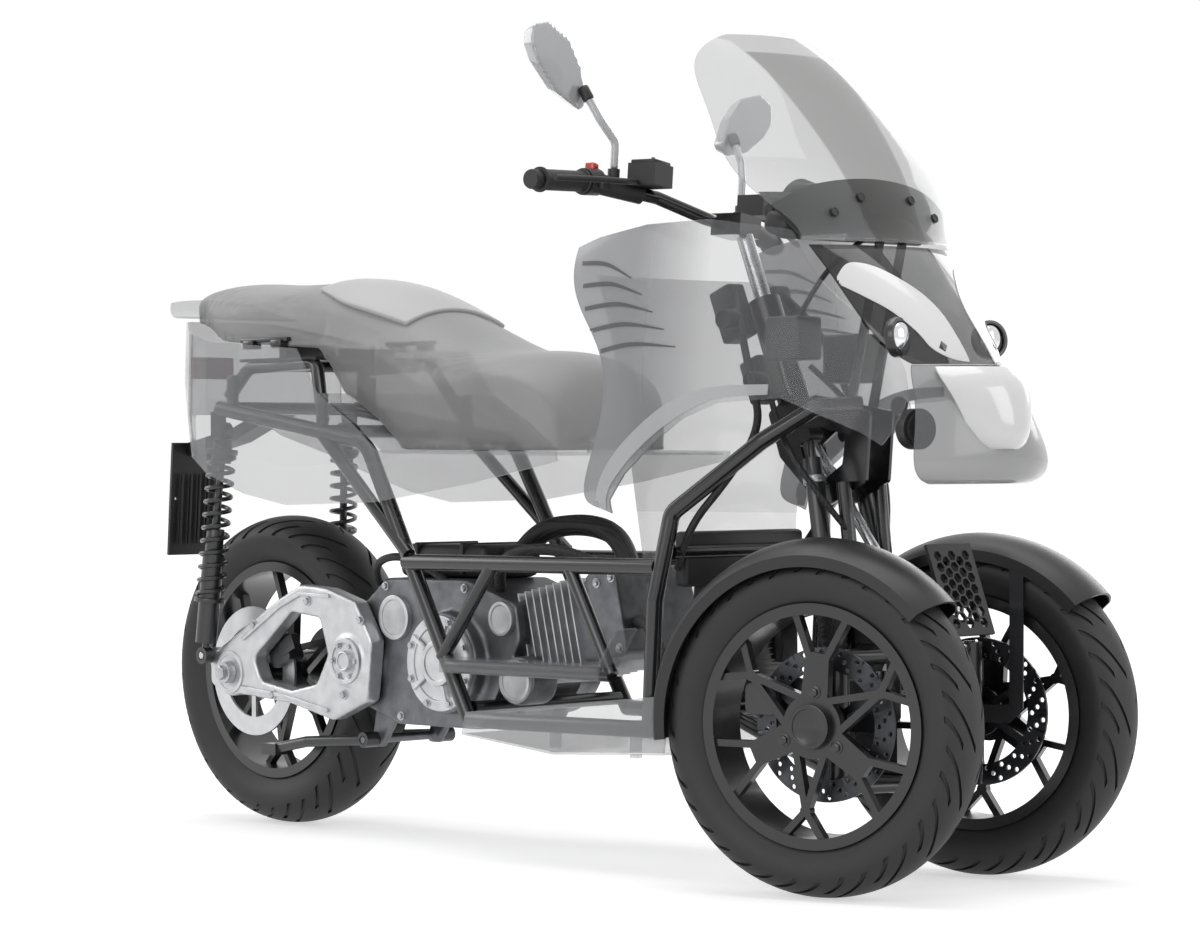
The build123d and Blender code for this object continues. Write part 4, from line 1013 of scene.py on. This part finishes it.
class TRIKE_OT_engine(bpy.types.Operator):
    """Fins, covers, bolts and hoses of the engine and belt case"""
    bl_idname = "trike.engine"
    bl_label = "Engine fittings"

    def execute(self, context):
        softened("engine_block", "cast_engine", "chassis", "engine", 0.004, 5)
        run = Vector((0.195, 0, 0.045)).normalized()
        lean = (0, -math.atan2(run.z, run.x), 0)
        first, pitch, half_fin = Vector((0.012, 0, 0.370)), 0.018, Vector((0.0016, 0.092, 0.080))
        fins = [bar(first + run * (pitch * index), half_fin, 0.0008, lean) for index in range(8)]
        keep("cylinder_fins", "chassis", "cast", fins)
        crank_x, crank_z = CRANK
        cover = [drum((x, y, z), RIGHTWARDS, radius, height, soft, sides, sink)
                 for x, y, z, radius, height, soft, sides, sink in (
                     (crank_x, -0.143, crank_z, 0.084, 0.010, 0.002, 56, 0.004),
                     (crank_x, -0.146, crank_z, 0.040, 0.016, 0.003, 40, 0.004),
                     (0.030, -0.131, 0.300, 0.038, 0.010, 0.002, 40, 0.003),
                     (-0.300, -0.116, 0.400, 0.040, 0.012, 0.002, 40, 0.003),
                     (-0.020, -0.116, 0.405, 0.030, 0.012, 0.002, 40, 0.003))]
        cover += radial_ribs((crank_x, -0.150, crank_z), 0.060, 5, Vector((0.019, 0.003, 0.0035)),
                             0.0012)
        keep("engine_covers", "chassis", "cast", cover)
        bolts = bolt_circle((crank_x, -0.148, crank_z), RIGHTWARDS, 0.076, 8, 0.0055, 0.006, 0.5)
        bolts += bolts_at(((-0.395, 0.275), (-0.395, 0.395), (-0.330, 0.455), (-0.120, 0.455),
                           (-0.010, 0.420), (-0.060, 0.250), (-0.290, 0.225)), -0.112,
                          RIGHTWARDS, 0.006, 0.006)
        bolts += bolts_at(((0.205, 0.350), (0.245, 0.362), (0.190, 0.470), (0.225, 0.480)), -0.092,
                          RIGHTWARDS, 0.006, 0.006)
        keep("engine_bolts", "chassis", "steel", bolts)
        belt_x, belt_z = BELT_WHEEL
        cover = [drum((belt_x, 0.171, belt_z), LEFTWARDS, 0.074, 0.006, 0.002, 56, 0.003)]
        cover += radial_ribs((belt_x, 0.1745, belt_z), 0.050, 14, Vector((0.020, 0.0018, 0.0022)),
                             0.0008)
        cover += bolts_at(((-0.60, 0.225), (-0.45, 0.228), (-0.30, 0.232), (-0.60, 0.378),
                           (-0.45, 0.398), (-0.30, 0.420)), 0.160, LEFTWARDS, 0.006, 0.006)
        keep("belt_case_cover", "chassis", "cast", cover)
        pipes = [hose([(-0.05, -0.09, 0.455), (-0.03, -0.12, 0.50), (0.06, -0.13, 0.53),
                       (0.16, -0.10, 0.52), (0.20, -0.06, 0.485)], 0.010),
                 hose([(0.15, 0.03, 0.47), (0.13, 0.04, 0.54), (0.02, 0.05, 0.57),
                       (-0.12, 0.04, 0.55), (-0.16, 0.03, 0.47)], 0.019),
                 hose([(0.24, -0.05, 0.40), (0.30, -0.09, 0.42), (0.35, -0.10, 0.36),
                       (0.36, -0.08, 0.28), (0.32, -0.04, 0.24)], 0.011),
                 hose([(-0.36, -0.10, 0.46), (-0.34, -0.14, 0.50), (-0.24, -0.13, 0.515),
                       (-0.18, -0.10, 0.465)], 0.007)]
        keep("engine_hoses", "chassis", "rubber", pipes, 60)
        airbox = [box((-0.34, -0.075, 0.4705), (-0.11, 0.065, 0.530), 0.016)]
        for x in (-0.29, -0.17):
            airbox.append(box((x, -0.079, 0.478), (x + 0.008, 0.069, 0.533), 0.002))
        airbox.append(drum((-0.090, -0.01, 0.505), (1, 0, 0), 0.026, 0.055, 0.003, 36, 0.006))
        keep("airbox", "chassis", "plastic", airbox)
        radiator = [box((0.405, -0.120, 0.250), (0.428, 0.120, 0.410), 0.004)]
        for index in range(15):
            z = 0.262 + 0.0098 * index
            radiator.append(box((0.402, -0.112, z), (0.431, 0.112, z + 0.0026), 0.0005))
        keep("radiator", "chassis", "suspension", radiator)
        return {"FINISHED"}


class TRIKE_OT_arm(bpy.types.Operator):
    """Ribs, pivot ring and bolts of the cast swing arm"""
    bl_idname = "trike.arm"
    bl_label = "Swing arm fittings"

    def execute(self, context):
        pivot_x, pivot_z = ARM_PIVOT
        parts = [drum((pivot_x, -0.1585, pivot_z), RIGHTWARDS, 0.042, 0.010, 0.002, 48, 0.004),
                 drum((pivot_x, -0.1610, pivot_z), RIGHTWARDS, 0.018, 0.012, 0.002, 32, 0.004)]
        for (x0, z0), (x1, z1) in (((-0.685, 0.352), (-0.580, 0.414)),
                                   ((-0.580, 0.414), (-0.520, 0.438)),
                                   ((-0.520, 0.438), (-0.440, 0.436)),
                                   ((-0.690, 0.262), (-0.560, 0.250)),
                                   ((-0.560, 0.250), (-0.445, 0.230))):
            middle = Vector(((x0 + x1) / 2, ARM_FACE - 0.002, (z0 + z1) / 2))
            half = Vector((math.hypot(x1 - x0, z1 - z0) / 2 + 0.002, 0.003, 0.0035))
            parts.append(bar(middle, half, 0.0018, (0, -math.atan2(z1 - z0, x1 - x0), 0)))
        softened("swing_arm", "cast_swing_arm", "chassis", "cast", 0.0035, 12)
        keep("swing_arm_ribs", "chassis", "cast", parts)
        bolts = bolt_circle((pivot_x, -0.160, pivot_z), RIGHTWARDS, 0.031, 6, 0.0045, 0.006)
        bolts += bolts_at(((-0.655, 0.378), (-0.500, 0.425), (-0.400, 0.260), (-0.352, 0.395),
                           (-0.600, 0.252)), ARM_FACE, RIGHTWARDS, 0.0065, 0.007)
        keep("swing_arm_bolts", "chassis", "steel", bolts)
        return {"FINISHED"}


class TRIKE_OT_front(bpy.types.Operator):
    """Boxes, brackets and hoses round the steering head"""
    bl_idname = "trike.front"
    bl_label = "Steering head fittings"

    def execute(self, context):
        lean = (0, HEAD_LEAN, 0)
        boxes = [box((0.452, -0.074, 0.870), (0.500, -0.034, 0.960), 0.005, lean),
                 box((0.520, -0.078, 0.770), (0.566, -0.034, 0.842), 0.005, lean),
                 box((0.452, 0.034, 0.870), (0.500, 0.074, 0.960), 0.005, lean),
                 box((0.585, 0.040, 0.800), (0.660, 0.110, 0.880), 0.006),
                 box((0.600, -0.112, 0.835), (0.672, -0.052, 0.905), 0.006),
                 box((0.420, -0.140, 0.470), (0.452, 0.140, 0.560), 0.008),
                 drum((0.500, -0.090, 0.905), RIGHTWARDS, 0.017, 0.030, 0.002, 28, 0.003),
                 drum((0.560, -0.092, 0.805), RIGHTWARDS, 0.014, 0.030, 0.002, 28, 0.003)]
        keep("head_boxes", "chassis", "plastic", boxes)
        hoses = [hose([(0.478, -0.050, 0.955), (0.520, -0.085, 0.900), (0.560, -0.100, 0.800),
                       (0.600, -0.120, 0.730), (0.560, -0.150, 0.650), (0.470, -0.165, 0.560),
                       (0.440, -0.150, 0.500)], 0.0065),
                 hose([(0.478, 0.050, 0.955), (0.530, 0.090, 0.900), (0.580, 0.100, 0.800),
                       (0.600, 0.120, 0.730), (0.540, 0.150, 0.640), (0.450, 0.150, 0.540)],
                      0.0065),
                 hose([(0.640, -0.075, 0.900), (0.700, -0.095, 0.960), (0.740, -0.060, 1.010),
                       (0.750, -0.030, 1.030)], 0.0045)]
        brake = ((0.545, 0.055, 0.830), (0.590, 0.090, 0.780), (0.640, 0.110, 0.700),
                 (0.690, 0.085, 0.620), (0.720, 0.045, 0.560))
        coolant = ((0.436, 0.090, 0.470), (0.440, 0.100, 0.400), (0.425, 0.105, 0.340))
        for route, radius in ((brake, 0.005), (coolant, 0.013)):
            hoses += [hose([sided(point, side) for point in route], radius) for _, side in SIDES]
        keep("front_hoses", "chassis", "rubber", hoses, 60)
        return {"FINISHED"}


class TRIKE_OT_lamps(bpy.types.Operator):
    """Projector lamps in their bezels, under white brows"""
    bl_idname = "trike.lamps"
    bl_label = "Headlamps"

    def execute(self, context):
        for name, side in SIDES:
            tree = surface_tree(f"lamp_{name}", "lamp_window")
            far = [(BEYOND, side * y, z) for y, z in BROW_TOP]
            near = [(BEYOND, side * y, z) for y, z in BROW_FOOT]
            brow = ribbon(tree, far, near, (-1, 0, 0), SHEET_LIFT, SHEET_WALL, 44, 10)
            keep(f"lamp_brow_{name}", "chassis", "white", [brow], 50, False)
            centre = onto(tree, (BEYOND, side * LAMP_Y, LAMP_Z), (-1, 0, 0), 0.0) - SHIFT
            gaze = Vector((1, -side * 0.25, 0.1))
            ring = drum(centre - gaze * 0.0066, gaze, 0.031, 0.016, 0.002, 48, 0.007)
            keep(f"lamp_bezel_{name}", "chassis", "wheel", [ring])
            fresh()
            bpy.ops.mesh.primitive_uv_sphere_add(segments=36, ring_count=18, radius=0.0235,
                                                 location=centre + Vector((-0.004, 0, 0)))
            ball = bpy.context.object
            ball.scale = (0.55, 1, 1)
            bpy.ops.object.transform_apply(location=False, rotation=False, scale=True)
            keep(f"lamp_projector_{name}", "chassis", "mirror", [ball], 60)
        return {"FINISHED"}


class TRIKE_OT_louvres(bpy.types.Operator):
    """Louvre panel on each side of the front shell, its slots drawn as dark strips of painted shade
    """
    bl_idname = "trike.louvres"
    bl_label = "Side louvres"

    def execute(self, context):
        for name, side in SIDES:
            tree = surface_tree(f"flank_{name}")
            # the louvre strips are painted shade: a dark sheet on the flank where the slots lie in
            # shadow
            strips = []
            for index in range(LOUVRES):
                share = index / (LOUVRES - 1)
                rear = Vector((0.292 + 0.030 * share, 0, 1.000 - 0.150 * share))
                front = Vector((0.410 + 0.110 * share, 0, 0.972 - 0.115 * share))
                middle = rear.lerp(front, 0.5) + Vector((0, 0, 0.010))
                wide = Vector((0, 0, 0.0035))
                upper = [rear + wide, middle + wide, front + wide * 0.3]
                lower = [rear - wide, middle - wide, front - wide * 0.3]
                for point in upper + lower:
                    point.y = side * BEYOND
                strips.append(ribbon(tree, upper, lower, (0, -side, 0), SHEET_LIFT, SHEET_WALL,
                                     18, 2))
            outer = [(x + dx, side * BEYOND, z + dz) for x, z, dx, dz in ARCH_EDGE]
            inner = [(x, side * BEYOND, z) for x, z, _, _ in ARCH_EDGE]
            edge = ribbon(tree, outer, inner, (0, -side, 0), SHEET_LIFT, SHEET_WALL, 44, 4)
            keep(f"shell_edge_{name}", "chassis", "trim", [edge], 40, False)
            keep(f"louvres_{name}", "chassis", "slot_shade", strips, 40, False)
        return {"FINISHED"}


class TRIKE_OT_cockpit(bpy.types.Operator):
    """Mirror heads, glass and joints, grip collars, stop switch and reservoir lid"""
    bl_idname = "trike.cockpit"
    bl_label = "Cockpit fittings"

    def execute(self, context):
        turn = Matrix.Rotation(STEER, 3, STEER_AXIS)
        glass_back = 0.0052
        softened("mirrors", "rounded_mirrors", "steering", "silver", 0.0025, 10)
        for name, side in SIDES:
            fresh()
            bpy.ops.mesh.primitive_circle_add(vertices=54, radius=1, fill_type="NGON")
            glass = bpy.context.object
            count = len(MIRROR_OUTLINE)
            for vertex in glass.data.vertices:
                place = (math.atan2(vertex.co.y, vertex.co.x) / math.tau) % 1.0 * count
                index = int(place) % count
                corner = Vector(MIRROR_OUTLINE[index])
                across, down = corner.lerp(Vector(MIRROR_OUTLINE[(index + 1) % count]),
                                           place - int(place))
                vertex.co = steered((MIRROR_MIDDLE[0] - glass_back,
                                     side * (MIRROR_MIDDLE[1] + across), MIRROR_MIDDLE[2] - down))
            use("SOLIDIFY", thickness=SHEET_WALL, offset=0)
            keep(f"mirror_glass_{name}", "steering", "mirror", [glass], 30)
            tip = sided(MIRROR_TIP, side)
            rise = (tip - sided(MIRROR_NECK, side)).normalized()
            joint = drum(steered(tip + rise * 0.003), turn @ rise, 0.0095, 0.026, 0.004)
            keep(f"mirror_joint_{name}", "steering", "plastic", [joint], 50)
            inner, outer = sided(GRIP_IN, side), sided(GRIP_OUT, side)
            axis = turn @ (outer - inner).normalized()
            collars = [drum(steered(inner.lerp(outer, share)), axis, 0.0205, 0.005, 0.0012, 36)
                       for share in (0.165, 0.985)]
            collars.append(drum(steered(outer) + axis * 0.0145, axis, 0.0160, 0.012, 0.002, 36,
                                0.003))
            keep(f"grip_collars_{name}", "steering", "rubber", collars)
        switch = box((0.290, -0.2475, 1.122), (0.308, -0.230, 1.136), 0.003)
        switch.location = steered(switch.location)
        switch.rotation_euler = turn.to_euler()
        keep("stop_switch", "steering", "red", [switch])
        lid = [box((0.349, -0.201, 1.139), (0.395, -0.151, 1.146), 0.002),
               drum((0.356, -0.157, 1.147), UP, 0.003, 0.003, 0.0005, 12),
               drum((0.388, -0.195, 1.147), UP, 0.003, 0.003, 0.0005, 12),
               box((0.286, -0.262, 1.084), (0.318, -0.236, 1.099), 0.004),
               box((0.318, -0.250, 1.092), (0.330, -0.226, 1.110), 0.003)]
        for part in lid:
            part.location = steered(part.location)
            part.rotation_mode = "QUATERNION"
            part.rotation_quaternion = turn.to_quaternion() @ part.rotation_euler.to_quaternion()
        keep("reservoir_lid", "steering", "plastic", lid)
        return {"FINISHED"}


class TRIKE_OT_dash(bpy.types.Operator):
    """Instrument pod and dials behind the screen's foot, its wings and studs, and the horn's face"""
    bl_idname = "trike.dash"
    bl_label = "Dash"

    def execute(self, context):
        tree = surface_tree("windscreen")
        lean, to_rider = (0, 0.35, 0), (-0.94, 0, 0.34)
        dial_places = (-0.050, 0.050)
        pod = [box((0.628, -0.105, 1.040), (0.712, 0.105, 1.112), 0.018, lean),
               box((0.650, -0.172, 1.028), (0.706, 0.172, 1.066), 0.014, lean)]
        pod += [drum((0.652, y, 1.072), (-0.5, 0, 0.86), 0.016, 0.014, 0.002, 32, 0.003)
                for y in (-0.145, 0.145)]
        pod += [drum((0.626, y, 1.086), to_rider, 0.040, 0.030, 0.003, 44, 0.010)
                for y in dial_places]
        keep("instrument_pod", "chassis", "plastic", pod)
        far = [(BEYOND, y, z) for y, z in ((-0.215, 1.070), (-0.130, 1.108), (0, 1.122),
                                           (0.130, 1.108), (0.215, 1.070))]
        near = [(BEYOND, y, 1.026) for y in (-0.186, -0.100, 0, 0.100, 0.186)]
        wings = ribbon(tree, far, near, (-1, 0, 0), -0.014, 0.004, 40, 8)
        keep("dash_wings", "chassis", "plastic", [wings], 50, False)
        dials = [drum((0.6175, y, 1.0895), to_rider, 0.030, 0.004, 0.0008, 44, 0.0008)
                 for y in dial_places]
        keep("dial_faces", "chassis", "white", dials)
        studs = []
        for y, z in ((-0.120, 1.064), (-0.060, 1.090), (0.060, 1.090), (0.120, 1.064)):
            spot = onto(tree, (BEYOND, y, z), (-1, 0, 0), 0.0)
            studs.append(drum(spot - SHIFT + Vector((0.0022, 0, 0)), (1, y, 0.35), 0.0075, 0.005,
                              0.0012, 24, 0.001))
        keep("screen_studs", "chassis", "plastic", studs)
        axis = (20, -4, 0)
        horn = [drum((0.9265, -0.1103, 0.722), axis, 0.026, 0.004, 0.001, 44, 0.002),
                drum((0.9275, -0.1105, 0.722), axis, 0.009, 0.006, 0.001, 28)]
        keep("horn_face", "chassis", "plastic", horn)
        return {"FINISHED"}


class TRIKE_OT_tail(bpy.types.Operator):
    """Ribs of the plate holder, brackets of the rack and the tail's lip"""
    bl_idname = "trike.tail"
    bl_label = "Tail fittings"

    def execute(self, context):
        lean = (0, math.atan2(0.011, 0.145), 0)
        ribs = [box((-1.0175, y - 0.002, 0.520), (-1.0115, y + 0.002, 0.655), 0.0008, lean)
                for y in (-0.042, -0.021, 0.0, 0.021, 0.042)]
        keep("plate_ribs", "chassis", "plastic", ribs)
        brackets = [box((x0, side * y - half, z0), (x1, side * y + half, z1), bevel)
                    for _, side in SIDES
                    for x0, x1, y, half, z0, z1, bevel in (
                        (-0.640, -0.612, 0.176, 0.012, 0.884, 0.900, 0.003),
                        (-0.560, -0.532, 0.176, 0.012, 0.884, 0.900, 0.003),
                        (-0.655, -0.520, 0.176, 0.006, 0.896, 0.904, 0.002),
                        (-0.706, -0.684, 0.167, 0.006, 0.784, 0.838, 0.002),
                        (-0.440, -0.418, 0.174, 0.006, 0.742, 0.800, 0.002))]
        keep("rack_brackets", "chassis", "frame", brackets)
        fresh()
        bpy.ops.mesh.primitive_grid_add(x_subdivisions=24, y_subdivisions=10, size=1)
        lip = bpy.context.object
        for vertex in lip.data.vertices:
            across, back = vertex.co.x * 2, vertex.co.y + 0.5
            half = 0.146 - 0.046 * back ** 1.5
            crown = (1 - across ** 2) * back
            vertex.co = (-0.890 - 0.078 * back - 0.018 * crown, across * half,
                         0.9500 + 0.030 * back ** 1.4 + 0.008 * crown)
        use("SOLIDIFY", thickness=0.004, offset=1)
        use("BEVEL", width=0.001, segments=2, limit_method="ANGLE", angle_limit=SHARP)
        keep("tail_lip", "chassis", "tail", [lip], 40)
        return {"FINISHED"}


class TRIKE_OT_seat(bpy.types.Operator):
    """Padded seat, its foam pushed out under the cover by a cloth simulation, and its back pad"""
    bl_idname = "trike.seat"
    bl_label = "Padded seat"

    def execute(self, context):
        pad = copy_of("seat")
        use("REMESH", mode="VOXEL", voxel_size=SEAT_VOXEL)
        rest = [vertex.co.copy() for vertex in pad.data.vertices]
        under = [vertex.normal.z < -0.5 for vertex in pad.data.vertices]
        use("SMOOTH", factor=0.5, iterations=10)
        cloth = pad.modifiers.new("Cloth", "CLOTH")
        cloth.settings.use_pressure = True
        cloth.settings.uniform_pressure_force = SEAT_PRESSURE
        cloth.settings.effector_weights.gravity = 0
        cloth.settings.quality = 4
        for step in range(1, SEAT_FRAMES + 1):
            bpy.context.scene.frame_set(step)
        bpy.ops.object.modifier_apply(modifier=cloth.name)
        bpy.context.scene.frame_set(1)
        for vertex, home, flat in zip(pad.data.vertices, rest, under):
            step = vertex.co - home
            limit = 0.0 if flat else SEAT_SWELL
            if step.length > limit:
                vertex.co = home + step.normalized() * limit if limit else home
        use("SMOOTH", factor=0.5, iterations=3)
        piece = keep("padded_seat", "seat", "seat", [pad], 80, False, "seat")
        tree = surface_tree("seat")
        left = [(x, y, BEYOND) for x, y in BACK_PAD_EDGE]
        right = [(x, -y, BEYOND) for x, y in BACK_PAD_EDGE]
        back = ribbon(tree, left, right, (0, 0, -1), 0.0085, 0.010, 30, 20)
        use("BEVEL", width=0.004, segments=3, limit_method="ANGLE", angle_limit=SHARP)
        piece = keep("back_pad", "seat", "pad", [back], 60, False)
        return {"FINISHED"}


class TRIKE_OT_stage(bpy.types.Operator):
    """Pale floor, soft studio lamps and the camera"""
    bl_idname = "trike.stage"
    bl_label = "Studio stage"

    def execute(self, context):
        scene = context.scene
        scene.view_settings.view_transform = "Standard"
        scene.cycles.transparent_max_bounces = CLEAR_LAYERS
        fresh()
        bpy.ops.mesh.primitive_plane_add(size=trike().floor_size, location=(0, 0, FLOOR_Z))
        floor = bpy.context.object
        floor.name = "studio_floor"
        floor.data.materials.append(floor_paint())
        studio_world()
        lens = bpy.data.cameras.new("photographer")
        lens.lens = CAMERA_LENS
        lens.sensor_width = 36.0
        lens.clip_end = CAMERA_REACH
        eye = bpy.data.objects.new("photographer", lens)
        scene.collection.objects.link(eye)
        turn = Matrix((CAMERA_RIGHT, CAMERA_UP, -CAMERA_AHEAD)).transposed().to_4x4()
        eye.matrix_world = Matrix.Translation(CAMERA + SHIFT) @ turn
        scene.camera = eye
        for name, place, width, depth, power in STUDIO_LAMPS:
            lamp = bpy.data.lights.new(name, "AREA")
            lamp.shape = "RECTANGLE"
            lamp.size = width
            lamp.size_y = depth
            lamp.energy = power * trike().lamp_level
            holder = bpy.data.objects.new(name, lamp)
            scene.collection.objects.link(holder)
            holder.location = place
            aim = (LAMP_TARGET - Vector(place)).to_track_quat("-Z", "Y")
            holder.rotation_euler = aim.to_euler()
        return {"FINISHED"}


def behind(mat):
    """1 for rays that show what stands behind: to the camera, in a gloss or through glass."""
    path = add(mat, "LightPath", {}, None).outputs
    mirrored = add(mat, "Math", {0: path["Is Glossy Ray"], 1: path["Is Transmission Ray"]},
                   operation="MAXIMUM")
    return add(mat, "Math", {0: path["Is Camera Ray"], 1: mirrored}, operation="MAXIMUM")


def floor_paint():
    """Matt painted floor: nearly white, lifted to white far out, with a soft shadow close by."""
    mat, where = start("matt floor paint")
    paint = add(mat, "BsdfDiffuse", {"Color": (*trike().floor_colour, 1.0)})
    reach = add(mat, "VectorMath", {0: where}, "Value", operation="LENGTH")
    lift = add(mat, "MapRange", {"Value": reach, "From Min": FLOOR_FADE[0],
                                 "From Max": FLOOR_FADE[1], "To Min": FLOOR_LIFT, "To Max": 1.0})
    strength = add(mat, "Math", {0: behind(mat), 1: lift}, operation="MULTIPLY")
    glow = add(mat, "Emission", {"Color": (1, 1, 1, 1), "Strength": strength})
    return done(mat, add(mat, "AddShader", {0: paint, 1: glow}))


def studio_world():
    """White studio: plain fill light, and white behind everything that is seen."""
    world = bpy.data.worlds.new("studio")
    bpy.context.scene.world = world
    world.use_nodes = True
    world.node_tree.nodes.clear()
    level = add(world, "MapRange", {"Value": behind(world), "To Min": WORLD_FILL, "To Max": 1.0})
    back = add(world, "Background", {"Color": (1, 1, 1, 1), "Strength": level})
    add(world, "OutputWorld", {"Surface": back}, None)


class TRIKE_PT_panel(bpy.types.Panel):
    """Sizes, colours and the order of work"""
    bl_label = "Reverse Trike"
    bl_idname = "TRIKE_PT_panel"
    bl_space_type = "VIEW_3D"
    bl_region_type = "UI"
    bl_category = "Trike"

    def draw(self, context):
        for name in TrikeSizes.__annotations__:
            self.layout.prop(context.scene.trike_sizes, name)
        for step in STEPS:
            self.layout.operator(step.bl_idname)


STEPS = (TRIKE_OT_finishes, TRIKE_OT_tyres, TRIKE_OT_discs, TRIKE_OT_hubs, TRIKE_OT_springs,
         TRIKE_OT_boots, TRIKE_OT_engine, TRIKE_OT_arm, TRIKE_OT_front, TRIKE_OT_lamps,
         TRIKE_OT_louvres, TRIKE_OT_cockpit, TRIKE_OT_dash, TRIKE_OT_tail, TRIKE_OT_seat,
         TRIKE_OT_stage)
CLASSES = (TrikeSizes, *STEPS, TRIKE_PT_panel)


def register():
    """Make the classes and the scene's settings known."""
    for made in CLASSES:
        bpy.utils.register_class(made)
    bpy.types.Scene.trike_sizes = bpy.props.PointerProperty(type=TrikeSizes)


def unregister():
    """Take the classes and the settings away again."""
    del bpy.types.Scene.trike_sizes
    for made in reversed(CLASSES):
        bpy.utils.unregister_class(made)


def main():
    """Dress the whole machine."""
    register()
    for step in STEPS:
        getattr(bpy.ops.trike, step.bl_idname.split(".")[1])()


if __name__ == "__main__":
    main()
